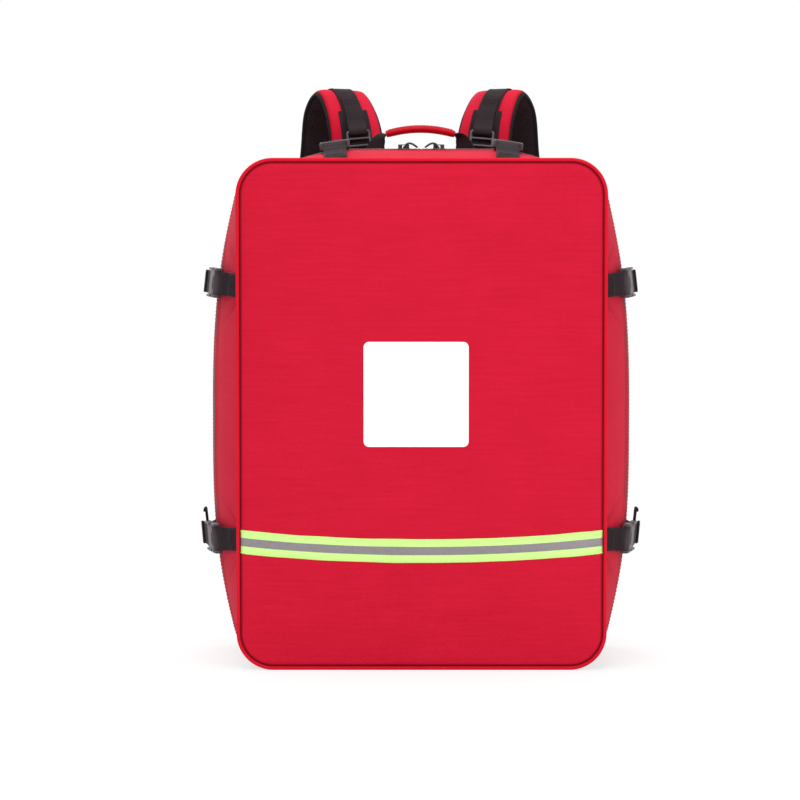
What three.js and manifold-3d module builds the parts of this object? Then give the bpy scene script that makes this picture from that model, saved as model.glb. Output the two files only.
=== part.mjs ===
// A trauma backpack: a box-shaped fabric pack whose zipped front lid folds down, with six compression
// straps on release clips, two padded shoulder straps and a grab handle.
// Millimetres. -Y is the front, +X the right-hand side seen from the front, +Z up.
// The origin is the middle of the base, on the surface that the pack stands on.
import * as THREE from "three";
import { mergeVertices } from "three/addons/utils/BufferGeometryUtils.js";
import Module from "manifold-3d";

const wasm = await Module();
wasm.setup();

// Driving dimensions.
const gap = 0.3; // between pieces that touch
const weld = 1e-4; // points nearer than this are one
const edgeShare = 0.8; // the most of a strip's half thickness that its rounded edge takes
const panel = { width: 386, height: 536, corner: 35, innerCorner: 8, edge: 4, lip: 3.2, crown: 16,
  crownPower: 3, thick: 6 };
const faceRings = [0.008, 0.042, 0.104, 0.194, 0.31, 0.415]; // the face's rings, as shares of the width
const pack = { depth: 200, wall: 5, sideBulge: 34, topBulge: 17, ridge: 0.45, rearShare: 0.45,
  sagRun: 0.15 }; // ridge, rearShare and sagRun are shares of the depth, the bulge and the depth
const taper = { middle: 0.47, upper: 0.53, lower: 0.48, power: 1.5, flatTop: 78, top: 168 }; // of the bulges
const piping = { radius: 1.9, sides: 6 };
const zip = { fromFront: 70, tape: 12, tapeThick: 1.6, tapeSink: 1, coil: 3.4, coilThick: 3.2,
  coilSink: 0.2, parting: 1.8, clothClear: 0.4, turn: 69, endHeight: 20 };
const slider = { length: 14, width: 11, corner: 3, wing: 1.6, play: 0.6, post: 0.9, postLength: 4,
  postInset: 1, apart: 38, bridge: 2.6, bridgeWidth: 3, bridgeWall: 1.5, bridgeTop: 1, bridgeInset: 3 };
const overlap = 0.1; // how far the parts of one moulding reach into each other
const pull = { length: 15, width: 8, thick: 1.6, rise: 4.4, rail: 2 };
const backPanel = { thick: 6 };
const frameSheet = { margin: 28, thick: 1.5, corner: 30 };
const backPad = { width: 92, height: 330, thick: 14, apart: 136, base: 130, corner: 24 };
const lumbarPad = { width: 250, height: 76, thick: 16, base: 40, corner: 28 };
const padEdge = { size: 2, thick: 1.5 }; // the bevel round a pad
const divider = { thick: 6, lowerAt: 0.36, upperAt: 0.68, play: 2, corner: 10 };
const pocket = { width: 300, height: 230, thick: 3, base: 120, corner: 18 };
const patch = { size: 111, corner: 6, thick: 1, centre: 295, offset: -6 };
const tape = { width: 25, stripe: 8.4, thick: 0.8, centre: 129, sag: 8.5, inset: 1, steps: 16 };
const webbing = { width: 25, thick: 1.6 };
const clip = { length: 60, width: webbing.width + 7, thick: 9.5, female: 36, clear: 1, wall: 2.2,
  barLength: 3, slot: 4, prong: 15, prongWidth: 4.6, prongThick: 4.6, play: 0.4, guide: 5,
  guideBack: 3, windowInset: 2, windowEnd: 4, saddle: 2.6, rail: 2.8, bar: 3, corner: 4 };
const straps = { topAt: 93, topStart: -50, upperAt: 412, lowerAt: 137, sideStart: -66, slide: 17,
  rise: 4, over: 1, lead: 3, spare: 2, rearShares: [0.45, 0.75], rearPower: 1.2 };
const shoulder = { width: 60, thick: 12, corner: 4, rootDrop: 14, samples: 26, webbingFrom: 3, turn: 27,
  turnIn: 0.25, turnOut: 0.35, clear: 0.6 };
const shoulderRoute = [ // outwards from the middle, behind the back panel, above the root
  [70, 6.5, 0], [71, 15, 35], [79, 30, 77], [92, 54, 101], [105, 81, 85], [111, 100, 35],
  [117, 106, -35], [128, 100, -107], [141, 86, -177], [152, 64, -242],
];
const anchor = { inset: 28, height: 44, clear: 5 };
const lifter = { width: 21, thick: 1.4, from: 0.2, to: 0.09, steps: 4, standOff: 6 }; // shares of the pad
const lifterBuckle = { width: 28, height: 20, thick: 4, bar: 3.2, corner: 3 };
const adjuster = { width: 34, height: 28, thick: 5, bar: 4, corner: 3, clear: 1.6 };
const handle = { span: 120, rise: 30, power: 3.2, inFromRear: 24, webbing: 3, width: 13, neck: 4, flare: 14,
  gripLength: 80, gripHeight: 8, gripWidth: 17, gripCorner: 4, clear: 2.6 };

// Derived places.
const foot = 2 * piping.radius + 2 * gap; // the seams stand this far above the base
const frontY = -pack.depth / 2;
const rearY = pack.depth / 2;
const topZ = foot + panel.height;
const zipY = frontY + zip.fromFront;

// Materials.
function finish(color, roughness, metalness = 0) {
  return new THREE.MeshStandardMaterial({ color, roughness, metalness });
}
const redFabric = finish(0xd41e34, 0.8);
const redPiping = finish(0xc51a2e, 0.7);
const lining = finish(0x3a3536, 0.9);
const blackWebbing = finish(0x2e2426, 0.85);
const blackMesh = finish(0x1f1314, 0.95);
const blackPlastic = finish(0x50464a, 0.45);
const sheetPlastic = finish(0x2a2a2c, 0.5);
const zipTape = finish(0x1c181a, 0.8);
const sliderMetal = finish(0x4a484c, 0.35, 0.8);
const limeTape = finish(0xcef48e, 0.6);
const silverTape = finish(0x93908f, 0.35);
const whitePatch = finish(0xf6f6f4, 0.7);

const group = new THREE.Group();

function add(name, geometry, material, parent = group) {
  const mesh = new THREE.Mesh(geometry, material);
  mesh.name = name;
  parent.add(mesh);
  return mesh;
}

// A closed geometry as a manifold-3d solid, with its faces turned to point out.
function solid(geometry) {
  const bare = geometry.index ? geometry.toNonIndexed() : geometry.clone();
  bare.deleteAttribute("normal");
  bare.deleteAttribute("uv");
  const merged = mergeVertices(bare, weld);
  const triVerts = new Uint32Array(merged.index.array);
  const make = () => new wasm.Manifold(new wasm.Mesh({
    numProp: 3,
    vertProperties: new Float32Array(merged.attributes.position.array),
    triVerts,
  }));
  const made = make();
  if (made.volume() >= 0) return made;
  for (let i = 0; i < triVerts.length; i += 3) {
    [triVerts[i + 1], triVerts[i + 2]] = [triVerts[i + 2], triVerts[i + 1]];
  }
  return make();
}

function geometryOf(manifold) {
  const { numProp, vertProperties, triVerts, numVert } = manifold.getMesh();
  const positions = new Float32Array(numVert * 3);
  for (let i = 0; i < numVert; i++) {
    positions.set(vertProperties.subarray(i * numProp, i * numProp + 3), i * 3);
  }
  const geometry = new THREE.BufferGeometry();
  geometry.setAttribute("position", new THREE.BufferAttribute(positions, 3));
  geometry.setIndex(new THREE.BufferAttribute(new Uint32Array(triVerts), 1));
  return geometry;
}

// A skin over loops of as many points each, with a fan at both ends, or joined end to end.
function loft(loops, joined = false) {
  const count = loops[0].length;
  const points = loops.flat();
  const faces = [];
  const spans = joined ? loops.length : loops.length - 1;
  for (let k = 0; k < spans; k++) {
    const here = k * count;
    const next = ((k + 1) % loops.length) * count;
    for (let i = 0; i < count; i++) {
      const j = (i + 1) % count;
      faces.push(here + i, here + j, next + j, here + i, next + j, next + i);
    }
  }
  const fan = (loop, start, turn) => {
    const middle = loop.reduce((sum, p) => sum.add(p), new THREE.Vector3()).divideScalar(count);
    points.push(middle);
    for (let i = 0; i < count; i++) {
      const j = (i + 1) % count;
      faces.push(points.length - 1, start + (turn ? j : i), start + (turn ? i : j));
    }
  };
  if (!joined) {
    fan(loops[0], 0, true);
    fan(loops[loops.length - 1], (loops.length - 1) * count, false);
  }
  const geometry = new THREE.BufferGeometry().setFromPoints(points);
  geometry.setIndex(faces);
  return geometryOf(solid(geometry));
}

function roundedShape(width, height, corner) {
  const shape = new THREE.Shape();
  const x = width / 2 - corner;
  const y = height / 2 - corner;
  shape.absarc(x, y, corner, 0, Math.PI / 2);
  shape.absarc(-x, y, corner, Math.PI / 2, Math.PI);
  shape.absarc(-x, -y, corner, Math.PI, Math.PI * 1.5);
  shape.absarc(x, -y, corner, Math.PI * 1.5, Math.PI * 2);
  return shape;
}

// A shape given thickness, centred on its own plane.
function plate(shape, thick, curveSegments = 3) {
  const geometry = new THREE.ExtrudeGeometry(shape, { depth: thick, bevelEnabled: false, curveSegments });
  return geometry.translate(0, 0, -thick / 2);
}

function box(from, to) {
  const size = to.map((value, i) => value - from[i]);
  return new THREE.BoxGeometry(...size).translate(...from.map((value, i) => value + size[i] / 2));
}

// Turns a plate's own X and Y into world X and Z, standing upright.
function upright(geometry, x, y, z) {
  return geometry.rotateX(Math.PI / 2).translate(x, y, z);
}

// The pack's outline: a rounded rectangle that bulges between its corners.
const cornerSteps = 4;
const sideSteps = [8, 8, 8, 3]; // right, top, left, bottom

// Points round a rounded rectangle, each with its outward normal, starting at the lower right corner.
function rectangleLoop(halfWidth, low, high, corner) {
  const loop = [];
  const corners = [ // centre and the angle that each starts at
    [halfWidth - corner, low + corner, -90],
    [halfWidth - corner, high - corner, 0],
    [-halfWidth + corner, high - corner, 90],
    [-halfWidth + corner, low + corner, 180],
  ];
  corners.forEach(([x, z, start], k) => {
    for (let i = 0; i <= cornerSteps; i++) {
      const angle = THREE.MathUtils.degToRad(start + (90 * i) / cornerSteps);
      const nx = Math.cos(angle);
      const nz = Math.sin(angle);
      loop.push({ x: x + nx * corner, z: z + nz * corner, nx, nz });
    }
    const from = loop[loop.length - 1];
    const [nextX, nextZ, nextStart] = corners[(k + 1) % corners.length];
    const angle = THREE.MathUtils.degToRad(nextStart);
    const to = { x: nextX + Math.cos(angle) * corner, z: nextZ + Math.sin(angle) * corner };
    for (let i = 1; i < sideSteps[k]; i++) {
      const share = i / sideSteps[k];
      loop.push({
        x: THREE.MathUtils.lerp(from.x, to.x, share),
        z: THREE.MathUtils.lerp(from.z, to.z, share),
        nx: from.nx,
        nz: from.nz,
      });
    }
  });
  return loop;
}
const edgeLoop = rectangleLoop(panel.width / 2, foot, topZ, panel.corner);

const clamp01 = (value) => THREE.MathUtils.clamp(value, 0, 1);

// How much of the full bulge there is at a depth: none at the front seam, all at the ridge.
function depthShare(y) {
  const t = clamp01((y - frontY) / pack.depth);
  if (t < pack.ridge) return Math.sin((Math.PI / 2) * (t / pack.ridge));
  const past = (t - pack.ridge) / (1 - pack.ridge);
  return pack.rearShare + (1 - pack.rearShare) * Math.cos((Math.PI / 2) * past);
}

function sideShare(z) {
  const middle = foot + panel.height * taper.middle;
  const reach = panel.height * (z > middle ? taper.upper : taper.lower);
  const u = clamp01(Math.abs(z - middle) / reach);
  return Math.cos((Math.PI / 2) * u ** taper.power);
}

function topShare(x) {
  const u = clamp01((Math.abs(x) - taper.flatTop) / (taper.top - taper.flatTop));
  return (1 + Math.cos(Math.PI * u)) / 2;
}

// The base sags flat onto the ground between the seams.
function footShare(y) {
  const t = clamp01((y - frontY) / pack.depth);
  return clamp01(Math.min(t, 1 - t) / pack.sagRun);
}

// A point of the outline at depth y, set in from the pack's outer surface.
function skinPoint(edge, y, inset = 0) {
  const bulge = depthShare(y);
  const dx = Math.sign(edge.x) * pack.sideBulge * bulge * sideShare(edge.z);
  const rise = edge.z > topZ / 2 ? pack.topBulge * bulge * topShare(edge.x) : 0;
  const low = clamp01(1 - (edge.z - foot) / panel.corner);
  const dz = rise - low * foot * footShare(y);
  return new THREE.Vector3(edge.x + dx - edge.nx * inset, y, edge.z + dz - edge.nz * inset);
}

const sideSurface = (z, y) => panel.width / 2 + pack.sideBulge * depthShare(y) * sideShare(z);
const topSurface = (x, y) => topZ + pack.topBulge * depthShare(y) * topShare(x);

const depthStations = [0, 0.07, 0.15, 0.29, 0.45, 0.65, 0.85, 1];

function skinBody(inset, from, to) {
  const ys = depthStations.map((t) => frontY + t * pack.depth).filter((y) => y > from && y < to);
  return solid(loft([from, ...ys, to].map((y) => edgeLoop.map((edge) => skinPoint(edge, y, inset)))));
}

// The wall between two insets, open at the front and at the back.
function skinWall(outer, inner) {
  const from = frontY + gap;
  const to = rearY - gap;
  return skinBody(outer, from, to).subtract(skinBody(inner, from - 1, to + 1));
}

// The zip's line, seen from the side: straight down, then a quarter turn to the front seam.
const turnCentre = { y: frontY + 1, z: zip.endHeight + zip.turn };
const far = 4 * panel.height;

// The line set off towards the back by `offset`, as points of (y, z) from the top down.
function zipLine(offset, steps = 6) {
  const radius = zipY - turnCentre.y + offset;
  const points = [new THREE.Vector2(zipY + offset, far)];
  for (let i = 0; i <= steps; i++) {
    const angle = (-Math.PI / 2) * (i / steps);
    const y = turnCentre.y + radius * Math.cos(angle);
    const z = turnCentre.z + (zip.turn + offset) * Math.sin(angle);
    points.push(new THREE.Vector2(y, z));
  }
  points.push(new THREE.Vector2(frontY - 1, zip.endHeight - offset));
  return points;
}

// A shape drawn in (y, z), run right across the pack.
function acrossPack(points) {
  const depth = 4 * panel.width;
  const geometry = new THREE.ExtrudeGeometry(new THREE.Shape(points), { depth, bevelEnabled: false });
  geometry.translate(0, 0, -depth / 2);
  const basis = new THREE.Matrix4().makeBasis(
    new THREE.Vector3(0, 1, 0), new THREE.Vector3(0, 0, 1), new THREE.Vector3(1, 0, 0));
  return solid(geometry.applyMatrix4(basis));
}

const band = (from, to) => acrossPack([...zipLine(from), ...zipLine(to).reverse()]);
const inFrontOf = (offset) => acrossPack([...zipLine(offset), new THREE.Vector2(frontY - 1, far)]);

// Shell pieces.
const shell = skinWall(0, pack.wall);
const tapeWall = skinWall(zip.tapeSink, zip.tapeSink + zip.tapeThick);
const coilWall = skinWall(zip.coilSink, zip.coilSink + zip.coilThick);
const tapeEdge = zip.tape + zip.parting / 2;
const coilEdge = zip.coil + zip.parting / 2;

add("lid_gusset", geometryOf(shell.intersect(inFrontOf(-tapeEdge - gap))), redFabric);
add("rear_gusset", geometryOf(shell.subtract(inFrontOf(tapeEdge + gap))), redFabric);
// One side's tape and coil: direction is -1 on the lid's side and 1 on the pack's.
function zipHalf(direction) {
  const ordered = (near, away) => (direction < 0 ? band(-away, -near) : band(near, away));
  const cloth = tapeWall.intersect(ordered(zip.parting / 2 + zip.clothClear, tapeEdge));
  return geometryOf(cloth.add(coilWall.intersect(ordered(zip.parting / 2, coilEdge))));
}
add("zip_half_lid", zipHalf(-1), zipTape);
add("zip_half_pack", zipHalf(1), zipTape);

// The front panel's outer face stands forward of the seam, most in its middle.
function faceY(x, z) {
  const u = clamp01(Math.abs(x) / (panel.width / 2));
  const v = clamp01(Math.abs(z - foot - panel.height / 2) / (panel.height / 2));
  return frontY - panel.edge - panel.crown * (1 - u ** panel.crownPower) * (1 - v ** panel.crownPower);
}

function panelLoop(inset, depthAt) {
  const corner = Math.max(panel.corner - inset, panel.innerCorner);
  const loop = rectangleLoop(panel.width / 2 - inset, foot + inset, topZ - inset, corner);
  return loop.map(({ x, z }) => new THREE.Vector3(x, depthAt(x, z), z));
}
const faceInsets = faceRings.map((share) => share * panel.width);
const innerY = (x, z) => Math.min(faceY(x, z) + panel.thick, frontY - gap);
add("front_panel", loft([
  ...faceInsets.toReversed().map((inset) => panelLoop(inset + gap, innerY)),
  panelLoop(0, () => frontY - gap),
  panelLoop(0, () => frontY - panel.lip),
  ...faceInsets.map((inset) => panelLoop(inset, faceY)),
]), redFabric);

add("back_panel", loft([rearY + gap, rearY + backPanel.thick].map((y) =>
  edgeLoop.map((edge) => {
    const at = skinPoint(edge, rearY);
    return at.setY(y);
  }))), blackMesh);

// Piping lies outside a seam, clear of the panel's edge.
function pipingRing(y, seamY) {
  return loft(edgeLoop.map((edge) => {
    const at = skinPoint(edge, seamY, -(gap + piping.radius));
    return Array.from({ length: piping.sides }, (_, i) => {
      const angle = (2 * Math.PI * (i + 0.5)) / piping.sides;
      const out = piping.radius * Math.cos(angle);
      const forward = piping.radius * Math.sin(angle);
      return new THREE.Vector3(at.x + edge.nx * out, y + forward, at.z + edge.nz * out);
    });
  }), true);
}
const pipingShift = piping.radius - 2 * gap;
add("front_piping", pipingRing(frontY - pipingShift, frontY), redPiping);
add("rear_piping", pipingRing(rearY + pipingShift, rearY), redPiping);

// Inside.
const inner = panel.width / 2 - pack.wall;
const sheetWidth = 2 * (inner - frameSheet.margin);
const sheetHeight = panel.height - 2 * (pack.wall + frameSheet.margin);
add("frame_sheet", upright(plate(roundedShape(sheetWidth, sheetHeight, frameSheet.corner), frameSheet.thick),
  0, rearY - 2 * gap - frameSheet.thick / 2, foot + panel.height / 2), sheetPlastic);

function shelf(name, share) {
  const z = foot + panel.height * share;
  const front = zipY + tapeEdge + 2 * gap;
  const back = rearY - frameSheet.thick - 4 * gap;
  const half = Math.min(sideSurface(z, front), sideSurface(z, back)) - pack.wall - divider.play;
  const shape = roundedShape(2 * half, back - front, divider.corner);
  add(name, plate(shape, divider.thick).translate(0, (front + back) / 2, z), lining);
}
shelf("divider_lower", divider.lowerAt);
shelf("divider_upper", divider.upperAt);

const pocketShape = roundedShape(pocket.width, pocket.height, pocket.corner);
const pocketY = innerY(pocket.width / 2, pocket.base) + gap + pocket.thick / 2;
add("lid_pocket", upright(plate(pocketShape, pocket.thick), 0, pocketY, pocket.base + pocket.height / 2),
  blackMesh);

// Pads on the back.
const padY = rearY + backPanel.thick + gap;
function pad(name, size, x) {
  const shape = roundedShape(size.width - 2 * padEdge.size, size.height - 2 * padEdge.size, size.corner);
  const geometry = new THREE.ExtrudeGeometry(shape, {
    depth: size.thick - 2 * padEdge.thick, bevelEnabled: true, bevelSize: padEdge.size,
    bevelThickness: padEdge.thick, bevelSegments: 1, curveSegments: 3,
  });
  geometry.translate(0, 0, padEdge.thick - size.thick);
  add(name, upright(geometry, x, padY, size.base + size.height / 2), blackMesh);
}
pad("back_pad_left", backPad, -backPad.apart / 2);
pad("back_pad_right", backPad, backPad.apart / 2);
pad("lumbar_pad", lumbarPad, 0);

// Trim on the front panel: a skin lying on the panel's face over a grid of (x, z), row by row.
function faceTrim(rows, sink, thick) {
  return loft(rows.map((row) => {
    const back = row.map(([x, z]) => new THREE.Vector3(x, faceY(x, z) - sink, z));
    const front = row.map(([x, z]) => new THREE.Vector3(x, faceY(x, z) - sink - thick, z)).reverse();
    return [...back, ...front];
  }));
}
const trimClear = 0.8; // the panel's facets stand a little proud of its true face

function tapeRows(width) {
  const half = panel.width / 2 - tape.inset;
  return Array.from({ length: tape.steps + 1 }, (_, i) => {
    const x = THREE.MathUtils.lerp(-half, half, i / tape.steps);
    const z = tape.centre + tape.sag * (x / half) ** 2;
    return [[x, z - width / 2], [x, z + width / 2]];
  });
}
add("reflective_tape", faceTrim(tapeRows(tape.width), trimClear, tape.thick), limeTape);
add("reflective_stripe", faceTrim(tapeRows(tape.stripe), trimClear + tape.thick + gap, tape.thick / 2),
  silverTape);
add("name_patch", upright(plate(roundedShape(patch.size, patch.size, patch.corner), patch.thick),
  patch.offset, faceY(0, patch.centre) - gap - patch.thick / 2, patch.centre), whitePatch);

// Each compression strap and its clip lie in a plane, with u running back, v out from the pack and w
// along the webbing's width. `start` is the clip's front end.
// The plane's v axis is the surface's own normal under the middle of the clip.
function strapPlane(start, pointAt, across) {
  const middle = start + clip.length / 2;
  const origin = pointAt(middle, 0);
  const chord = pointAt(middle, clip.width / 2).sub(pointAt(middle, -clip.width / 2));
  const u = new THREE.Vector3(0, 1, 0);
  const w = chord.setY(0).normalize();
  const v = new THREE.Vector3().crossVectors(w, u);
  if (v.dot(across) < 0) v.negate();
  w.crossVectors(u, v);
  origin.y = 0;
  const plane = new THREE.Group();
  plane.applyMatrix4(new THREE.Matrix4().makeBasis(u, v, w).setPosition(origin));
  group.add(plane);
  const surface = (y) => Math.max(...[-0.5, -0.25, 0, 0.25, 0.5].map((share) =>
    pointAt(y, share * clip.width).sub(origin).dot(v)));
  return { start, plane, surface };
}

// A ribbon that follows a line of (u, v) points.
function ribbon(line, width, thick) {
  const points = line.map(([u, v]) => new THREE.Vector2(u, v));
  const sides = points.map((point, i) => {
    const before = points[Math.max(i - 1, 0)];
    const after = points[Math.min(i + 1, points.length - 1)];
    const along = after.clone().sub(before).normalize();
    return new THREE.Vector2(-along.y, along.x).multiplyScalar(thick / 2);
  });
  const over = points.map((point, i) => point.clone().add(sides[i]));
  const under = points.map((point, i) => point.clone().sub(sides[i]));
  return plate(new THREE.Shape([...over, ...under.reverse()]), width);
}

// The clip's own frame: u from its front end, v from its inner face.
function femaleClip() {
  const half = clip.width / 2;
  const shape = roundedShape(clip.female, clip.width, clip.corner);
  const block = plate(shape, clip.thick).rotateX(Math.PI / 2).translate(clip.female / 2, clip.thick / 2, 0);
  const slotEnd = clip.barLength + clip.slot;
  const slotHalf = webbing.width / 2 + 2 * gap;
  const slot = box([clip.barLength, -1, -slotHalf], [slotEnd, clip.thick + 1, slotHalf]);
  const mid = clip.thick / 2;
  const tall = clip.prongThick / 2 + clip.play;
  const cavityStart = clip.female - clip.prong - clip.windowInset;
  const cavity = box([cavityStart, mid - tall, -half + clip.wall],
    [clip.female + 1, mid + tall, half - clip.wall]);
  const window = box([cavityStart + clip.windowInset, mid - tall + gap, -half - 1],
    [clip.female - clip.windowEnd, mid + tall - gap, half + 1]);
  return geometryOf([slot, cavity, window].reduce((rest, cut) => rest.subtract(solid(cut)), solid(block)));
}

function maleClip() {
  const half = clip.width / 2;
  const start = clip.female + gap;
  const length = clip.length - start;
  const shape = roundedShape(length, clip.width, clip.corner);
  const frame = plate(shape, clip.thick - clip.saddle).rotateX(Math.PI / 2)
    .translate(start + length / 2, (clip.thick + clip.saddle) / 2, 0);
  const slotHalf = half - clip.rail;
  const barAt = clip.length - clip.bar;
  const between = (barAt - start - clip.wall * 3 - clip.bar) / 2;
  const firstSlot = start + clip.wall * 3;
  const slots = [firstSlot, firstSlot + between + clip.bar].map((u) =>
    box([u, -1, -slotHalf], [u + between, clip.thick + 1, slotHalf]));
  const mid = clip.thick / 2;
  const low = mid - clip.prongThick / 2;
  const high = mid + clip.prongThick / 2;
  const tip = clip.female - clip.prong;
  const reach = half - clip.wall - clip.play;
  const prongs = [
    box([tip, low, reach - clip.prongWidth], [start + 1, high, reach]),
    box([tip, low, -reach], [start + 1, high, clip.prongWidth - reach]),
    box([tip + clip.guideBack, low, -clip.guide / 2], [start + 1, high, clip.guide / 2]),
  ];
  const slotted = slots.reduce((rest, slot) => rest.subtract(solid(slot)), solid(frame));
  return geometryOf(prongs.reduce((rest, prong) => rest.add(solid(prong)), slotted));
}

function compressionStrap(name, { start, plane, surface }) {
  // The clip lies along the chord of the surface under it, clear of the highest point between.
  const end = start + clip.length;
  const slope = (surface(end) - surface(start)) / clip.length;
  const angle = Math.atan(slope);
  let lift = 0;
  for (let u = start; u <= end; u += 2) {
    lift = Math.max(lift, surface(u) - surface(start) - slope * (u - start));
  }
  const v0 = surface(start) + lift + clip.clear;
  const place = new THREE.Group();
  place.position.set(start, v0, 0);
  place.rotation.z = angle;
  plane.add(place);
  add("clip_socket_" + name, femaleClip(), blackPlastic, place);
  add("clip_plug_" + name, maleClip(), blackPlastic, place);

  const inClip = (u, v) => [
    start + u * Math.cos(angle) - v * Math.sin(angle),
    v0 + u * Math.sin(angle) + v * Math.cos(angle),
  ];
  const seamFront = frontY + webbing.thick + pipingShift;
  const off = webbing.thick / 2 + gap;
  const nearFront = [seamFront, surface(seamFront) + piping.radius + off];
  const intoSlot = clip.barLength + clip.slot / 2;
  const front = [nearFront, inClip(-straps.rise, 0.4 * clip.thick),
    inClip(-straps.over, clip.thick + off - gap), inClip(clip.barLength / 2, clip.thick + off + gap)];
  add("strap_front_" + name, ribbon(front, webbing.width, webbing.thick), blackWebbing, plane);

  // The rear run passes under the plug's bars, straight for as far as the plug slides.
  const under = (clip.saddle - gap) / 2 - overlap;
  const free = clip.length + straps.slide + straps.spare;
  const straight = [inClip(intoSlot + clip.female + straps.lead, under), inClip(free, under)];
  const rearEnd = rearY - webbing.thick - pipingShift;
  const overRear = surface(rearEnd) + off + piping.radius;
  const rearRun = straps.rearShares.map((share) => [
    THREE.MathUtils.lerp(straight[1][0], rearEnd, share),
    THREE.MathUtils.lerp(straight[1][1], overRear, share ** straps.rearPower),
  ]);
  const rear = [...straight, ...rearRun, [rearEnd, overRear]];
  add("strap_rear_" + name, ribbon(rear, webbing.width, webbing.thick), blackWebbing, plane);
}

for (const side of [-1, 1]) {
  const label = side < 0 ? "left" : "right";
  const x = side * straps.topAt;
  compressionStrap("top_" + label, strapPlane(straps.topStart,
    (y, w) => new THREE.Vector3(x + w, y, topSurface(x + w, y)), new THREE.Vector3(0, 0, 1)));
  for (const [level, z] of [["upper", straps.upperAt], ["lower", straps.lowerAt]]) {
    compressionStrap(level + "_" + label, strapPlane(straps.sideStart,
      (y, w) => new THREE.Vector3(side * sideSurface(z + w, y), y, z + w), new THREE.Vector3(side, 0, 0)));
  }
}

// The zip sliders, in their own frame at the middle of the coil: X along the zip, Y across it and Z out
// of the pack. The surface is straight between two depth stations, and the zip lies on that facet.
const stationYs = depthStations.map((t) => frontY + t * pack.depth);
const facetEnd = stationYs.find((y) => y > zipY);
const facetStart = stationYs.findLast((y) => y <= zipY);
const facetRise = topSurface(0, facetEnd) - topSurface(0, facetStart);
const zipSlope = Math.atan(facetRise / (facetEnd - facetStart));
const zipTop = topSurface(0, facetStart) + Math.tan(zipSlope) * (zipY - facetStart);
const coilMiddle = zip.coilSink + zip.coilThick / 2;
for (const side of [-1, 1]) {
  const label = side < 0 ? "left" : "right";
  const place = new THREE.Group();
  place.position.set((side * slider.apart) / 2, zipY + coilMiddle * Math.sin(zipSlope),
    zipTop - coilMiddle * Math.cos(zipSlope));
  place.rotation.x = zipSlope;
  group.add(place);
  const room = zip.coilThick / 2 + slider.play;
  const outer = room + slider.wing;
  const wings = plate(roundedShape(slider.length, slider.width, slider.corner), 2 * outer);
  const slot = box([-slider.length, -slider.width, -room], [slider.length, slider.width, room]);
  const nose = -side * (slider.length / 2 - slider.postInset);
  const postEnds = [nose, nose + side * slider.postLength];
  const post = box([Math.min(...postEnds), -slider.post / 2, overlap - outer],
    [Math.max(...postEnds), slider.post / 2, outer - overlap]);
  const reach = slider.length / 2 - slider.bridgeInset;
  const arch = box([-reach, -slider.bridgeWidth / 2, outer - overlap],
    [reach, slider.bridgeWidth / 2, outer + slider.bridge + slider.bridgeTop]);
  const underArch = box([slider.bridgeWall - reach, -slider.bridgeWidth, outer],
    [reach - slider.bridgeWall, slider.bridgeWidth, outer + slider.bridge]);
  add("zip_slider_" + label, geometryOf(
    solid(wings).subtract(solid(slot)).add(solid(post)).add(solid(arch).subtract(solid(underArch)))),
    sliderMetal, place);

  // The pull is a loop whose end bar lies under the bridge; it arches over towards the zip's middle.
  const bar = pull.thick / 2;
  const low = outer + gap + bar;
  const end = pull.length - bar;
  const profile = [[-bar, 0], [bar, 0], [0.2 * end, 0.55], [0.45 * end, 1], [0.7 * end, 0.95],
    [0.9 * end, 0.5], [end, 0.1]]; // along the pull, and a share of its rise
  const strip = ribbon(profile.map(([u, share]) => [u, low + share * pull.rise]), pull.width, pull.thick);
  const hole = box([bar, low - pull.rise, pull.rail - pull.width / 2],
    [end - pull.thick, low + 2 * pull.rise, pull.width / 2 - pull.rail]);
  const loopPull = geometryOf(solid(strip).subtract(solid(hole))).rotateX(Math.PI / 2);
  add("zip_pull_" + label, side < 0 ? loopPull : loopPull.rotateZ(Math.PI), blackPlastic, place);
}

// A strip is swept along stations that hold a centre, the directions across and outward, a width and
// a thickness.
// A soft strip has rounded edges and a line of points along its middle.
function sweptStrip(stations, corner = 0) {
  return loft(stations.map(({ centre, across, outward, width, thick }) => {
    const at = (x, y) => centre.clone().addScaledVector(across, x).addScaledVector(outward, y);
    const w = width / 2;
    const t = thick / 2;
    if (corner === 0) return [at(w, t), at(-w, t), at(-w, -t), at(w, -t)];
    const c = Math.min(corner, t * edgeShare);
    const half = [[0, t], [c - w, t], [-w, t - c], [-w, c - t], [c - w, -t]];
    return [...half, ...half.map(([x, y]) => [-x, -y])].map(([x, y]) => at(x, y));
  }));
}

// Shoulder straps.
const rootY = rearY + backPanel.thick;
const rootZ = topZ - shoulder.rootDrop;
const shoulderCurve = new THREE.CatmullRomCurve3(shoulderRoute.map(([out, behind, above]) =>
  new THREE.Vector3(out, rootY + behind, rootZ + above)));

// Stations of the right-hand strap; `offset` is a distance outward, or a function of the share run.
function shoulderStations(from, to, count, { width, thick, offset = 0 }) {
  return Array.from({ length: count + 1 }, (_, i) => {
    const share = from + ((to - from) * i) / count;
    const along = shoulderCurve.getTangentAt(share);
    const turn = THREE.MathUtils.degToRad(shoulder.turn) *
      THREE.MathUtils.smoothstep(share, 0, shoulder.turnIn) *
      (1 - THREE.MathUtils.smoothstep(share, shoulder.turnOut, 1));
    const across = new THREE.Vector3(Math.cos(turn), -Math.sin(turn), 0);
    across.addScaledVector(along, -across.dot(along)).normalize();
    const outward = new THREE.Vector3().crossVectors(across, along);
    const out = typeof offset === "function" ? offset(i / count) : offset;
    const centre = shoulderCurve.getPointAt(share).addScaledVector(outward, out);
    return { centre, across, outward, along, width, thick };
  });
}

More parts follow.
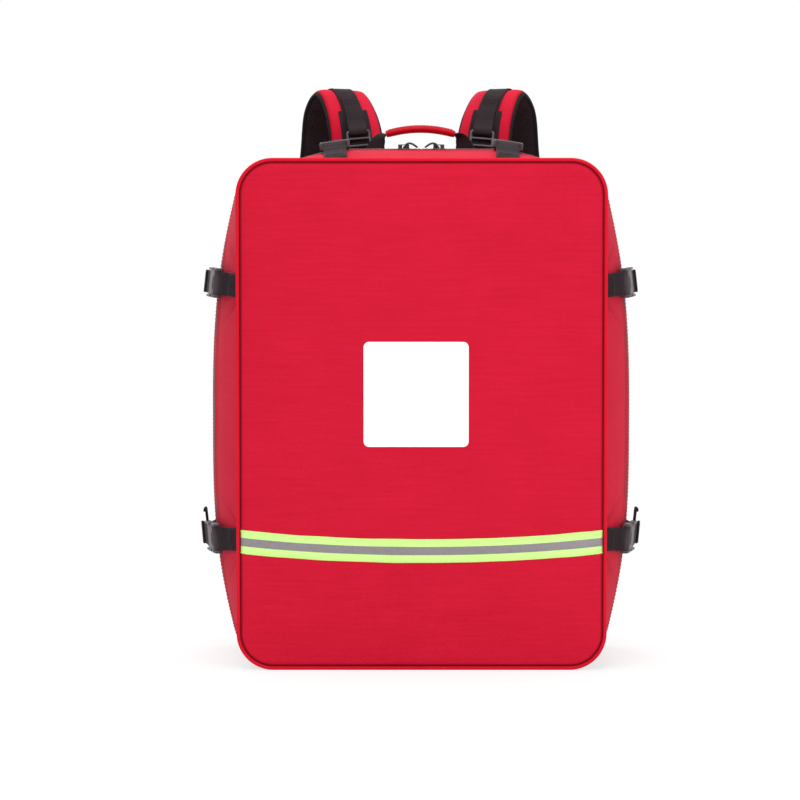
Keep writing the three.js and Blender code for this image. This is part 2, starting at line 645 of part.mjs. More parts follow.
// A frame with a bar across its middle, lying in the plane of a station.
function barredFrame({ width, height, thick, bar, corner }, { centre, across, along }) {
  const frame = solid(plate(roundedShape(width, height, corner), thick));
  const slotHeight = (height - 3 * bar) / 2;
  const holes = [-1, 1].map((end) => {
    const z = end * (bar + slotHeight) / 2;
    const reach = width / 2 - bar;
    return solid(box([-reach, z - slotHeight / 2, -thick], [reach, z + slotHeight / 2, thick]));
  });
  const geometry = geometryOf(holes.reduce((rest, hole) => rest.subtract(hole), frame));
  const facing = new THREE.Vector3().crossVectors(across, along);
  return geometry.applyMatrix4(new THREE.Matrix4().makeBasis(across, along, facing).setPosition(centre));
}

function mirrored(geometry) {
  return geometryOf(solid(geometry.clone().scale(-1, 1, 1)));
}

function addPair(name, geometry, material) {
  add(name + "_right", geometry, material);
  add(name + "_left", mirrored(geometry), material);
}

const step = 1 / shoulder.samples;
const padSize = { width: shoulder.width, thick: shoulder.thick };
addPair("shoulder_pad",
  sweptStrip(shoulderStations(0, 1, shoulder.samples, padSize), shoulder.corner), redFabric);

const onPad = shoulder.thick / 2 + gap + webbing.thick / 2 + shoulder.clear;
const webbingSize = { width: webbing.width, thick: webbing.thick };
addPair("shoulder_webbing", sweptStrip(shoulderStations(shoulder.webbingFrom * step, 1,
  shoulder.samples - shoulder.webbingFrom, { ...webbingSize, offset: onPad })), blackWebbing);

const lifterBase = onPad + webbing.thick / 2 + gap + lifter.thick / 2 + shoulder.clear;
const lifterRun = shoulderStations(lifter.from, lifter.to, lifter.steps, {
  width: lifter.width, thick: lifter.thick, offset: (share) => lifterBase + lifter.standOff * share ** 2,
});
addPair("lifter_webbing", sweptStrip(lifterRun), blackWebbing);

const lifterEnd = lifterRun[lifterRun.length - 1];
const ahead = lifter.thick / 2 + gap + lifterBuckle.thick / 2;
const ringCentre = lifterEnd.centre.clone().addScaledVector(lifterEnd.outward, ahead);
addPair("lifter_buckle", barredFrame(lifterBuckle, { ...lifterEnd, centre: ringCentre }), blackPlastic);

const [padEnd] = shoulderStations(1, 1, 1, webbingSize);
const lock = { ...padEnd, centre: padEnd.centre.clone()
  .addScaledVector(padEnd.along, adjuster.height / 2 + adjuster.clear) };
addPair("strap_adjuster", barredFrame(adjuster, lock), blackPlastic);

// The tail runs straight from the adjuster to just behind the pack's lower rear corner.
const tailStart = lock.centre.clone()
  .addScaledVector(padEnd.outward, adjuster.thick / 2 + gap + webbing.thick / 2 + shoulder.clear);
const tailEnd = new THREE.Vector3(panel.width / 2 - anchor.inset, rootY + anchor.clear + webbing.thick,
  anchor.height);
const tailAlong = tailEnd.clone().sub(tailStart).normalize();
const tailAcross = new THREE.Vector3(1, 0, 0).addScaledVector(tailAlong, -tailAlong.x).normalize();
const tailOutward = new THREE.Vector3().crossVectors(tailAcross, tailAlong);
addPair("shoulder_tail", sweptStrip([tailStart, tailEnd].map((centre) =>
  ({ centre, across: tailAcross, outward: tailOutward, ...webbingSize }))), blackWebbing);

// Grab handle.
const handleY = rearY - handle.inFromRear;
const handleZ = topSurface(handle.span / 2, handleY) + handle.clear;

function handleStations(from, to, count, width, thick) {
  return Array.from({ length: count + 1 }, (_, i) => {
    const x = THREE.MathUtils.lerp(from, to, i / count) * (handle.span / 2);
    const u = Math.abs((2 * x) / handle.span);
    const z = handleZ + handle.rise * (1 - u ** handle.power);
    const slope = (-2 * Math.sign(x) * handle.rise * handle.power * u ** (handle.power - 1)) / handle.span;
    const along = new THREE.Vector3(1, 0, slope).normalize();
    const across = new THREE.Vector3(0, 1, 0);
    const outward = new THREE.Vector3().crossVectors(along, across);
    const flare = clamp01((z - handleZ) / handle.flare);
    return { centre: new THREE.Vector3(x, handleY, z), across, outward,
      width: width * (1 - flare) * (handle.neck / handle.width) + width * flare, thick };
  });
}
const loop = sweptStrip(handleStations(-1, 1, 20, handle.width, handle.webbing));
const gripReach = handle.gripLength / handle.span;
const gripStations = handleStations(-gripReach, gripReach, 12, handle.gripWidth, handle.gripHeight);
const grip = sweptStrip(gripStations, handle.gripCorner);
const core = sweptStrip(handleStations(-1, 1, 20, handle.width + 2 * gap, handle.webbing + 2 * gap));
add("handle_webbing", loop, blackWebbing);
add("handle_grip", geometryOf(solid(grip).subtract(solid(core))), redPiping);

export default group;
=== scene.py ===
import math

import bmesh
import bpy
import numpy as np
from mathutils import Matrix, Vector, noise


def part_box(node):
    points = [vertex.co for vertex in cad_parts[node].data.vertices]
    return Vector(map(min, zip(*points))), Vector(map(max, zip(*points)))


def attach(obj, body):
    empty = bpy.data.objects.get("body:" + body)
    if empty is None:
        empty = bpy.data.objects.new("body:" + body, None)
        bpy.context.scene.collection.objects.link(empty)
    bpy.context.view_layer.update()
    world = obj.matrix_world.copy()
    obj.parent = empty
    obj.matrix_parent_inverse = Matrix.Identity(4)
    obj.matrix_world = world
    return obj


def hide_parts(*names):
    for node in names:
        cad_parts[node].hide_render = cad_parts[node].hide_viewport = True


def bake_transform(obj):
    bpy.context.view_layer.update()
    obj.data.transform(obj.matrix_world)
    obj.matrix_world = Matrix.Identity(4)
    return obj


# A red trauma backpack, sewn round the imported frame.
# Lengths here are millimetres, and makeObject turns them into metres. -Y is the front.

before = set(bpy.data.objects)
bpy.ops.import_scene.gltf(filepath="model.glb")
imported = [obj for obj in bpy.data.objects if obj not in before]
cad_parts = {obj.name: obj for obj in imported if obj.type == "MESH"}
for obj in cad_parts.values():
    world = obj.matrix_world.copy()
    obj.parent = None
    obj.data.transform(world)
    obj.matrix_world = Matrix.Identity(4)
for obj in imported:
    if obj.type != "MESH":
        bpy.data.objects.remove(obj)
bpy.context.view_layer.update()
mm = 0.001


def nodeBox(name):
    low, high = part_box(name)
    return np.array(low) / mm, np.array(high) / mm


def nodeSpan(name):
    low, high = nodeBox(name)
    return low, high, high - low, (low + high) / 2


# small tools
def smooth(low, high, value):
    share = np.clip((value - low) / (high - low), 0, 1)
    return share * share * (3 - 2 * share)


def unit(vectors):
    return vectors / np.linalg.norm(vectors, axis=-1, keepdims=True)


def lumps(points, size, seed=0):
    # smooth noise from -1 to 1, one lump about every `size` millimetres
    flat = np.asarray(points, float).reshape(-1, 3) / size + seed * 17.3
    values = [noise.noise(Vector(p)) for p in flat]
    return np.array(values).reshape(np.shape(points)[:-1])


def gridFaces(rows, columns, start=0, closeRows=False, closeColumns=False):
    r = np.arange(rows if closeRows else rows - 1)[:, None]
    c = np.arange(columns if closeColumns else columns - 1)[None, :]
    nextR, nextC = (r + 1) % rows, (c + 1) % columns
    corners = [r * columns + c, r * columns + nextC, nextR * columns + nextC, nextR * columns + c]
    return (np.stack(corners, -1).reshape(-1, 4) + start).tolist()


def setAttribute(mesh, name, kind, values):
    layer = mesh.attributes.new(name, kind, "POINT")
    layer.data.foreach_set("vector" if kind == "FLOAT_VECTOR" else "value", np.ravel(values))


def shaded(mesh, sharp):
    mesh.polygons.foreach_set("use_smooth", [True] * len(mesh.polygons))
    mesh.set_sharp_from_angle(angle=math.radians(sharp))
    return mesh


def facedOut(mesh, weld=0):
    work = bmesh.new()
    work.from_mesh(mesh)
    if weld:
        bmesh.ops.remove_doubles(work, verts=work.verts, dist=weld)
    bmesh.ops.recalc_face_normals(work, faces=work.faces)
    work.to_mesh(mesh)
    work.free()
    return mesh


def makeObject(name, points, faces, finish, cloth=None, paintedShade=None, sharp=40):
    # cloth: the weave's own (across, along) at each point; the shade value, 0 to 1, is how much painted shade
    # darkens the colour in seams, folds and grooves
    mesh = bpy.data.meshes.new(name)
    mesh.from_pydata((np.asarray(points) * mm).tolist(), [], faces)
    return finishObject(name, shaded(facedOut(mesh), sharp), finish, cloth, paintedShade)


def finishObject(name, mesh, finish, cloth=None, paintedShade=None):
    count = len(mesh.vertices)
    if cloth is None:
        places = np.array([v.co for v in mesh.vertices]) / mm
        cloth = places[:, [0, 2]]
    setAttribute(mesh, "cloth", "FLOAT_VECTOR", np.column_stack([cloth, np.zeros(count)]))
    setAttribute(mesh, "paintedShade", "FLOAT", np.zeros(count) if paintedShade is None else paintedShade)
    made = bpy.data.objects.new(name, mesh)
    bpy.context.scene.collection.objects.link(made)
    mesh.materials.append(materials[finish])
    return made


def thickSheet(name, outer, inner, finish, cloth=None, paintedShade=None, closeColumns=False, sharp=40):
    # a closed piece of cloth from two grids of rows and columns
    rows, columns = outer.shape[:2]
    count = rows * columns
    points = np.concatenate([outer.reshape(-1, 3), inner.reshape(-1, 3)])
    faces = gridFaces(rows, columns, 0, False, closeColumns)
    faces += gridFaces(rows, columns, count, False, closeColumns)
    index = np.arange(count).reshape(rows, columns)
    borders = [(index[0], closeColumns), (index[-1], closeColumns)]
    if not closeColumns:
        borders += [(index[:, 0], False), (index[:, -1], False)]
    for line, closed in borders:
        line = np.append(line, line[0]) if closed else line
        faces += [[a, b, b + count, a + count] for a, b in zip(line[:-1].tolist(), line[1:].tolist())]
    both = None if cloth is None else np.tile(cloth.reshape(-1, 2), (2, 1))
    deep = None if paintedShade is None else np.tile(paintedShade.ravel(), 2)
    return makeObject(name, points, faces, finish, both, deep, sharp)


def sweep(name, rings, finish, cloth=None, paintedShade=None, closed=False, sharp=40):
    rows, columns = rings.shape[:2]
    faces = gridFaces(rows, columns, 0, closed, True)
    if not closed:
        faces += [list(range(columns)), list(range((rows - 1) * columns, rows * columns))]
    flat = None if cloth is None else cloth.reshape(-1, 2)
    deep = None if paintedShade is None else paintedShade.ravel()
    return makeObject(name, rings.reshape(-1, 3), faces, finish, flat, deep, sharp=sharp)


def lengthsAlong(points):
    steps = np.linalg.norm(np.diff(points, axis=0), axis=1)
    return np.concatenate([[0], np.cumsum(steps)])


def clothGrid(across, along):
    # the weave's own places over a grid, from its places across and its run along the rows
    return np.stack(np.broadcast_arrays(across, along[:, None]), -1)


def resample(points, spacing, *others):
    # the line again with even spacing, and anything that goes with its points
    run = lengthsAlong(points)
    count = max(int(round(run[-1] / spacing)), 1) + 1
    at = np.linspace(0, run[-1], count)
    lines = []
    for values in (points, *others):
        lines.append(np.column_stack([np.interp(at, run, column) for column in np.transpose(values)]))
    return tuple(lines)


def smoothLine(points, passes=2, closed=False):
    # corners of a given line rounded by corner cutting
    line = np.asarray(points, float)
    for _ in range(passes):
        before, after = (line, np.roll(line, -1, 0)) if closed else (line[:-1], line[1:])
        cut = np.empty((2 * len(before), line.shape[1]))
        cut[0::2] = 0.75 * before + 0.25 * after
        cut[1::2] = 0.25 * before + 0.75 * after
        line = cut if closed else np.concatenate([line[:1], cut, line[-1:]])
    return line


def stripSection(width, thick, columns=8, roundness=0.8, edge=1.0):
    # a flat strip's outline in (across, outward); its edges are `edge` times as thick as its middle
    across = np.linspace(-0.5, 0.5, columns + 1)
    lift = 0.5 * thick * (1 + (edge - 1) * smooth(0.38, 0.48, np.abs(across)))
    inset = roundness * thick * 0.5
    side = across * (width - 2 * inset)
    top = np.column_stack([side, lift])
    bottom = np.column_stack([side[::-1], -lift[::-1]])
    right = np.array([[width / 2 - inset * 0.3, thick * 0.3], [width / 2, 0],
                      [width / 2 - inset * 0.3, -thick * 0.3]])
    left = right * [-1, -1]
    return np.concatenate([top, right, bottom, left])


def sweptStrip(name, centre, across, outward, width, thick, finish, columns=8, edge=1.0, paintedShade=None):
    # webbing: a strip section carried along a line; width may change along it
    widths = np.broadcast_to(width, len(centre)).astype(float)
    base = stripSection(1000, 1000 * thick / widths.mean(), columns, edge=edge) / 1000
    x = base[None, :, 0] * widths[:, None]
    y = base[None, :, 1] * widths.mean()
    rings = centre[:, None] + across[:, None] * x[..., None] + outward[:, None] * y[..., None]
    return sweep(name, rings, finish, clothGrid(x, lengthsAlong(centre)), paintedShade)


def tube(name, centre, radius, finish, sides=10, closed=False, flat=1.0):
    # a round cord along a line; `flat` squeezes it in its own second direction
    centre = np.asarray(centre, float)
    if closed:
        along = unit(np.roll(centre, -1, 0) - np.roll(centre, 1, 0))
    else:
        along = unit(np.gradient(centre, axis=0))
    up = np.array([0.0, 0, 1]) if abs(along[0][2]) < 0.8 else np.array([0.0, 1, 0])
    first = []
    for direction in along:
        up = up - direction * (up @ direction)
        up = up / np.linalg.norm(up)
        first.append(up)
    first = np.array(first)
    second = np.cross(along, first)
    angles = np.linspace(0, 2 * np.pi, sides, endpoint=False)
    rings = centre[:, None] + radius * (first[:, None] * np.cos(angles)[None, :, None] +
                                        flat * second[:, None] * np.sin(angles)[None, :, None])
    cloth = clothGrid(angles * radius, lengthsAlong(centre))
    return sweep(name, rings, finish, cloth, closed=closed, sharp=60)


stitch = {"pitch": 4.2, "length": 3.0, "radius": 0.42, "sides": 5}


def stitchRows(name, rows, finish, pitch=None, lift=0.1):
    # rows: a list of (points, normals); each stitch is a small rounded bar lying on the cloth
    pitch = pitch or stitch["pitch"]
    length = stitch["length"] * pitch / stitch["pitch"]
    profile = [(-0.5, 0.35), (-0.32, 1.0), (0.32, 1.0), (0.5, 0.35)]
    angles = np.linspace(0, 2 * np.pi, stitch["sides"], endpoint=False)
    points, faces = [], []
    for line, normals in rows:
        line, normals = np.asarray(line, float), np.asarray(normals, float)
        if normals.ndim == 1:
            normals = np.broadcast_to(normals, line.shape)
        spots, ups = resample(line, pitch, normals)
        along = unit(np.gradient(spots, axis=0)) if len(spots) > 2 else unit(np.diff(spots, axis=0))[[0, 0]]
        ups = unit(ups - along * (ups * along).sum(1, keepdims=True))
        across = np.cross(along, ups)
        for spot, a, u, c in zip(spots, along, ups, across):
            start = len(points)
            for run, size in profile:
                middle = spot + a * run * length + u * (lift - 0.25 * stitch["radius"] * (1 - size))
                for angle in angles:
                    points.append(middle + stitch["radius"] * size * (c * math.cos(angle) +
                                                                      u * math.sin(angle)))
            sides = len(angles)
            faces += gridFaces(len(profile), sides, start, False, True)
            faces += [list(range(start, start + sides)), list(range(start + 3 * sides, start + 4 * sides))]
    return makeObject(name, np.array(points), faces, finish)


def plated(name, outlines, thick, bevel, matrix=None, rounding=3):
    # a flat moulding with bevelled edges: the first outline is its edge and the others are holes
    curve = bpy.data.curves.new(name + "Outline", "CURVE")
    curve.dimensions = "2D"
    curve.fill_mode = "BOTH"
    curve.extrude = (thick / 2 - bevel) * mm
    curve.bevel_depth = bevel * mm
    curve.bevel_resolution = rounding
    curve.offset = -bevel * mm
    for outline in outlines:
        spline = curve.splines.new("POLY")
        spline.points.add(len(outline) - 1)
        spline.use_cyclic_u = True
        for point, (x, y) in zip(spline.points, outline):
            point.co = (x * mm, y * mm, 0, 1)
    holder = bpy.data.objects.new(name + "Outline", curve)
    bpy.context.scene.collection.objects.link(holder)
    bpy.context.view_layer.update()
    mesh = bpy.data.meshes.new_from_object(holder.evaluated_get(bpy.context.evaluated_depsgraph_get()))
    bpy.data.objects.remove(holder)
    mesh.materials.clear()
    facedOut(mesh, 1e-6)
    if matrix is not None:
        mesh.transform(matrix)
    return mesh


def roundedOutline(width, height, corner, centre=(0, 0), steps=5):
    points = []
    for k, (sx, sy) in enumerate([(1, 1), (-1, 1), (-1, -1), (1, -1)]):
        for i in range(steps + 1):
            angle = math.pi / 2 * (k + i / steps)
            x = sx * (width / 2 - corner) + corner * math.cos(angle)
            y = sy * (height / 2 - corner) + corner * math.sin(angle)
            points.append((centre[0] + x, centre[1] + y))
    return points


def joinMeshes(name, meshes, sharp=35):
    # parts of one moulding, united into one skin
    objects = []
    for i, mesh in enumerate(meshes):
        made = bpy.data.objects.new(f"{name}Part{i}", mesh)
        bpy.context.scene.collection.objects.link(made)
        objects.append(made)
    for other in objects[1:]:
        cut = objects[0].modifiers.new("union", "BOOLEAN")
        cut.operation = "UNION"
        cut.solver = "EXACT"
        cut.object = other
    bpy.context.view_layer.update()
    mesh = bpy.data.meshes.new_from_object(objects[0].evaluated_get(bpy.context.evaluated_depsgraph_get()))
    for made in objects:
        bpy.data.objects.remove(made)
    mesh.materials.clear()
    mesh.name = name
    return shaded(mesh, sharp)


def raised(height):
    return Matrix.Translation((0, 0, height * mm))


def basisMatrix(xAxis, yAxis, zAxis, origin):
    # columns are the axes; the origin is in millimetres
    matrix = Matrix.Identity(4)
    for column, axis in enumerate((xAxis, yAxis, zAxis)):
        for row in range(3):
            matrix[row][column] = axis[row]
    for row in range(3):
        matrix[row][3] = origin[row] * mm
    return matrix


def rides(made, body, *nodes):
    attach(made, body)
    if nodes:
        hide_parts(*nodes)
    return made


# finishes
def toLinear(value):
    share = value / 255
    return share / 12.92 if share <= 0.04045 else ((share + 0.055) / 1.055) ** 2.4


def rgb(red, green, blue):
    return (toLinear(red), toLinear(green), toLinear(blue), 1.0)


# dark and light are the two ends of each finish's colour, and the third is the colour of the painted shade in
# seams, folds and grooves; pattern is its weave and pitch its size
finishes = {
    "redFabric": {"slot": "red_fabric", "dark": (180, 9, 38), "light": (205, 23, 55), "deep": (118, 0, 10),
                  "pattern": "plain", "pitch": 1.1, "depth": 0.14, "rough": (0.62, 0.82), "sheen": 0.07,
                  "bloom": (255, 165, 190), "streak": 3.5},
    "redPiping": {"slot": "red_piping", "dark": (186, 6, 30), "light": (212, 16, 44), "deep": (110, 0, 8),
                  "pattern": "twill", "pitch": 1.0, "depth": 0.1, "rough": (0.5, 0.7), "sheen": 0.05},
    "redGrip": {"slot": "red_piping", "dark": (162, 3, 20), "light": (186, 9, 31), "deep": (96, 0, 6),
                "pattern": "twill", "pitch": 1.0, "depth": 0.12, "rough": (0.5, 0.7), "sheen": 0.04},
    "redThread": {"slot": "red_piping", "dark": (184, 8, 32), "light": (210, 18, 46), "deep": (110, 0, 8),
                  "pattern": "twill", "pitch": 0.7, "depth": 0.08, "rough": (0.45, 0.65), "sheen": 0.05},
    "blackWebbing": {"slot": "black_webbing", "dark": (20, 14, 16), "light": (52, 39, 43), "deep": (6, 4, 5),
                     "pattern": "chevron", "pitch": 1.9, "depth": 0.3, "rough": (0.55, 0.8), "sheen": 0.03},
    "blackThread": {"slot": "black_webbing", "dark": (30, 25, 28), "light": (58, 51, 55), "deep": (12, 9, 10),
                    "pattern": "twill", "pitch": 0.7, "depth": 0.08, "rough": (0.4, 0.6), "sheen": 0.08},
    "blackMesh": {"slot": "black_mesh", "dark": (22, 14, 16), "light": (60, 42, 46), "deep": (3, 2, 2),
                  "pattern": "holes", "pitch": 2.6, "depth": 0.7, "rough": (0.75, 0.95), "sheen": 0.04},
    "binding": {"slot": "black_webbing", "dark": (17, 13, 16), "light": (38, 32, 35), "deep": (8, 6, 7),
                "pattern": "twill", "pitch": 0.9, "depth": 0.12, "rough": (0.55, 0.75), "sheen": 0.08},
    "lining": {"slot": "lining", "dark": (34, 31, 33), "light": (60, 56, 58), "deep": (15, 13, 14),
               "pattern": "plain", "pitch": 0.9, "depth": 0.12, "rough": (0.6, 0.85), "sheen": 0.06},
    "zipTape": {"slot": "zip_tape", "dark": (13, 10, 12), "light": (30, 26, 28), "deep": (5, 4, 5),
                "pattern": "chevron", "pitch": 1.0, "depth": 0.14, "rough": (0.6, 0.8), "sheen": 0.06},
    "sheetPlastic": {"slot": "sheet_plastic", "dark": (26, 26, 28), "light": (44, 44, 47),
                     "deep": (15, 15, 16),
                     "pattern": "grain", "pitch": 1.6, "depth": 0.1, "rough": (0.35, 0.55), "sheen": 0,
                     "shine": 0.4},
    "blackPlastic": {"slot": "black_plastic", "dark": (54, 44, 49), "light": (82, 70, 76),
                     "deep": (20, 15, 17),
                     "pattern": "grain", "pitch": 0.9, "depth": 0.05, "rough": (0.34, 0.5), "sheen": 0,
                     "shine": 0.28},
    "ringPlastic": {"slot": "black_plastic", "dark": (22, 18, 20), "light": (40, 34, 37), "deep": (10, 8, 9),
                    "pattern": "grain", "pitch": 0.9, "depth": 0.04, "rough": (0.26, 0.42), "sheen": 0,
                    "shine": 0.45},
    "zipCoil": {"slot": "zip_tape", "dark": (16, 13, 15), "light": (38, 33, 36), "deep": (8, 6, 7),
                "pattern": "grain", "pitch": 0.8, "depth": 0.03, "rough": (0.3, 0.45), "sheen": 0,
                "shine": 0.35},
    "sliderMetal": {"slot": "slider_metal", "dark": (52, 47, 52), "light": (88, 82, 88), "deep": (30, 26, 28),
                    "pattern": "grain", "pitch": 0.6, "depth": 0.02, "rough": (0.24, 0.42), "sheen": 0,
                    "metal": 0.8, "shine": 0.5},
    "limeTape": {"slot": "lime_tape", "dark": (177, 225, 118), "light": (203, 243, 150),
                 "deep": (120, 166, 60),
                 "pattern": "ribs", "pitch": 1.5, "depth": 0.08, "rough": (0.45, 0.65), "sheen": 0.02},
    "silverTape": {"slot": "silver_tape", "dark": (114, 109, 111), "light": (146, 140, 143),
                   "deep": (86, 80, 82),
                   "pattern": "beads", "pitch": 0.8, "depth": 0.05, "rough": (0.3, 0.45), "sheen": 0,
                   "metal": 0.2, "shine": 0.3},
    "whitePatch": {"slot": "white_patch", "dark": (238, 238, 236), "light": (250, 250, 249),
                   "deep": (200, 198, 196), "pattern": "plain", "pitch": 0.8, "depth": 0.06,
                   "rough": (0.5, 0.7), "sheen": 0},
    "whiteThread": {"slot": "white_patch", "dark": (226, 226, 222), "light": (248, 248, 246),
                    "deep": (190, 188, 186), "pattern": "twill", "pitch": 0.6, "depth": 0.06,
                    "rough": (0.4, 0.6), "sheen": 0},
}
mottle = {"fine": 2.2, "broad": 45.0, "drift": 0.35}  # millimetres between patches, and the broad ones' share


def plug(tree, socket, value):
    if isinstance(value, bpy.types.NodeSocket):
        tree.links.new(value, socket)
    else:
        socket.default_value = value


def addNode(tree, kind, inputs=(), **settings):
    made = tree.nodes.new("ShaderNode" + kind)
    for key, value in settings.items():
        setattr(made, key, value)
    for socket, value in dict(inputs).items():
        plug(tree, made.inputs[socket], value)
    return made


def calc(tree, operation, first, second=0.0, third=0.0):
    return addNode(tree, "Math", {0: first, 1: second, 2: third}, operation=operation).outputs[0]


def wave(tree, value, pitch):
    # 0 to 1 and back once every pitch
    turned = calc(tree, "SINE", calc(tree, "MULTIPLY", value, 2 * math.pi / pitch))
    return calc(tree, "MULTIPLY_ADD", turned, 0.5, 0.5)


def patternHeight(tree, kind, u, v, pitch):
    if kind == "plain":
        return calc(tree, "MULTIPLY", wave(tree, calc(tree, "ADD", u, v), pitch),
                    wave(tree, calc(tree, "SUBTRACT", u, v), pitch))
    if kind == "twill":
        return wave(tree, calc(tree, "ADD", u, v), pitch)
    if kind == "ribs":
        return calc(tree, "MULTIPLY_ADD", wave(tree, u, pitch * 0.5), 0.35, wave(tree, v, pitch))
    if kind == "chevron":
        folded = calc(tree, "PINGPONG", u, 2.1 * pitch)
        slanted = wave(tree, calc(tree, "ADD", v, folded), pitch)
        return calc(tree, "MULTIPLY", slanted, calc(tree, "MULTIPLY_ADD", wave(tree, u, pitch * 0.7), 0.4,
                                                    0.6))
    spots = addNode(tree, "CombineXYZ", {0: calc(tree, "MULTIPLY", u, 1 / pitch),
                                         1: calc(tree, "MULTIPLY", v, 1 / pitch)})
    if kind == "holes":
        cells = addNode(tree, "TexVoronoi", {"Vector": spots.outputs[0], "Scale": 1.0, "Randomness": 0.15},
                        voronoi_dimensions="2D")
        return addNode(tree, "MapRange", {0: cells.outputs["Distance"], 1: 0.2, 2: 0.42}).outputs[0]
    if kind == "beads":
        cells = addNode(tree, "TexVoronoi", {"Vector": spots.outputs[0], "Scale": 1.0, "Randomness": 0.6},
                        voronoi_dimensions="2D")
        return calc(tree, "SUBTRACT", 1.0, cells.outputs["Distance"])
    place = addNode(tree, "TexCoord").outputs["Object"]
    return addNode(tree, "TexNoise", {"Vector": place, "Scale": 1 / (pitch * mm), "Detail": 3.0}).outputs[0]


def makeMaterial(name, spec):
    material = bpy.data.materials.new(name)
    material.use_nodes = True
    tree = material.node_tree
    shader = tree.nodes["Principled BSDF"]
    cloth = addNode(tree, "Attribute", attribute_name="cloth")
    parts = addNode(tree, "SeparateXYZ", {0: cloth.outputs["Vector"]})
    height = patternHeight(tree, spec["pattern"], parts.outputs[0], parts.outputs[1], spec["pitch"])
    place = addNode(tree, "TexCoord").outputs["Object"]
    fine, broad = (addNode(tree, "TexNoise", {"Vector": place, "Scale": 1 / (mottle[size] * mm),
                                              "Detail": 2.0}).outputs[0] for size in ("fine", "broad"))
    # the raised threads are painted lighter and the low ones darker, a painted shade between the threads; the
    # colour also drifts a little over the cloth
    share = calc(tree, "MULTIPLY_ADD", height, 0.45, calc(tree, "MULTIPLY_ADD", fine, 0.7, -0.35))
    share = calc(tree, "ADD", share, calc(tree, "MULTIPLY_ADD", broad, mottle["drift"],
                                          0.25 - mottle["drift"] / 2))
    if "streak" in spec:
        drawn = addNode(tree, "VectorMath", {0: place, 1: (0.06, 0.06, 1)}, operation="MULTIPLY").outputs[0]
        lines = addNode(tree, "TexNoise", {"Vector": drawn, "Scale": 1 / (spec["streak"] * mm),
                                           "Detail": 2.0})
        share = calc(tree, "ADD", share, calc(tree, "MULTIPLY_ADD", lines.outputs[0], 0.6, -0.3))
    colour = addNode(tree, "Mix", {0: share, 6: rgb(*spec["dark"]), 7: rgb(*spec["light"])}, data_type="RGBA")
    # painted shade: the colour is darkened towards the shade colour where the shade attribute is set, in
    # seams, folds and grooves
    paintedShade = addNode(tree, "Attribute", attribute_name="paintedShade").outputs["Fac"]
    colour = addNode(tree, "Mix", {0: paintedShade, 6: colour.outputs[2], 7: rgb(*spec["deep"])}, data_type="RGBA")
    tree.links.new(colour.outputs[2], shader.inputs["Base Color"])
    low, high = spec["rough"]
    rough = calc(tree, "MULTIPLY_ADD", fine, 1.6 * (high - low), low - 0.3 * (high - low))
    tree.links.new(rough, shader.inputs["Roughness"])
    bump = addNode(tree, "Bump", {"Strength": 1.0, "Distance": spec["depth"] * mm, "Height": height})
    soft = addNode(tree, "Bump", {"Strength": 0.5, "Distance": 0.25 * mm, "Height": fine,
                                  "Normal": bump.outputs[0]})
    tree.links.new(soft.outputs[0], shader.inputs["Normal"])
    shader.inputs["Metallic"].default_value = spec.get("metal", 0.0)
    shader.inputs["Specular IOR Level"].default_value = spec.get("shine", 0.1)
    shader.inputs["Sheen Weight"].default_value = spec["sheen"]
    shader.inputs["Sheen Roughness"].default_value = 0.5
    shader.inputs["Sheen Tint"].default_value = rgb(*spec.get("bloom", spec["light"]))
    return material


materials = {name: makeMaterial(name, spec) for name, spec in finishes.items()}
print("finishes:", len(materials))

# the pack's own shape
panelLow, panelHigh = nodeBox("front_panel")
shellLow, shellHigh = nodeBox("rear_gusset")
body = {
    "corner": 35,         # of the front and back seams
    "sideBulge": 34,
    "topBulge": 17,
    "ridge": 0.45,        # share of the depth where the bulge is widest
    "rearShare": 0.45,    # what is left of the bulge at the back seam
    "middle": 0.47, "upper": 0.53, "lower": 0.48,
    "flatTop": 78, "topEnd": 168,
    "edge": 4, "crown": 16,
    "zipBack": 70, "turn": 69, "endHeight": 20,
    "gap": 0.3,
}
halfWidth = panelHigh[0]
footZ, topZ = panelLow[2], panelHigh[2]
height = topZ - footZ
frontY, rearY = shellLow[1] - body["gap"], shellHigh[1] + body["gap"]
depth = rearY - frontY
zipY = frontY + body["zipBack"]


def depthShare(y):
    t = np.clip((y - frontY) / depth, 0, 1)
    rise = np.sin(np.pi / 2 * np.minimum(t / body["ridge"], 1))
    past = np.clip((t - body["ridge"]) / (1 - body["ridge"]), 0, 1)
    fall = body["rearShare"] + (1 - body["rearShare"]) * np.cos(np.pi / 2 * past)
    return np.where(t < body["ridge"], rise, fall)


def sideShare(z):
    middle = footZ + height * body["middle"]
    reach = height * np.where(z > middle, body["upper"], body["lower"])
    return np.cos(np.pi / 2 * np.clip(np.abs(z - middle) / reach, 0, 1) ** 1.5)


def topShare(x):
    u = np.clip((np.abs(x) - body["flatTop"]) / (body["topEnd"] - body["flatTop"]), 0, 1)
    return (1 + np.cos(np.pi * u)) / 2


def skin(edge, y, inset=0.0):
    # edge: x, z and the outward normal of a point on the seam's outline
    x, z, nx, nz = np.moveaxis(np.asarray(edge, float), -1, 0)
    y = np.broadcast_to(np.asarray(y, float), np.broadcast_shapes(np.shape(x), np.shape(y)))
    bulge = depthShare(y)
    t = np.clip((y - frontY) / depth, 0, 1)
    sag = np.clip(np.minimum(t, 1 - t) / 0.15, 0, 1)
    low = np.clip(1 - (z - footZ) / body["corner"], 0, 1)
    px = x + np.sign(x) * body["sideBulge"] * bulge * sideShare(z) - nx * inset
    rise = np.where(z > topZ / 2, body["topBulge"] * bulge * topShare(x), 0)
    pz = z + rise - low * footZ * sag - nz * inset
    return np.stack(np.broadcast_arrays(px, y, pz), -1)


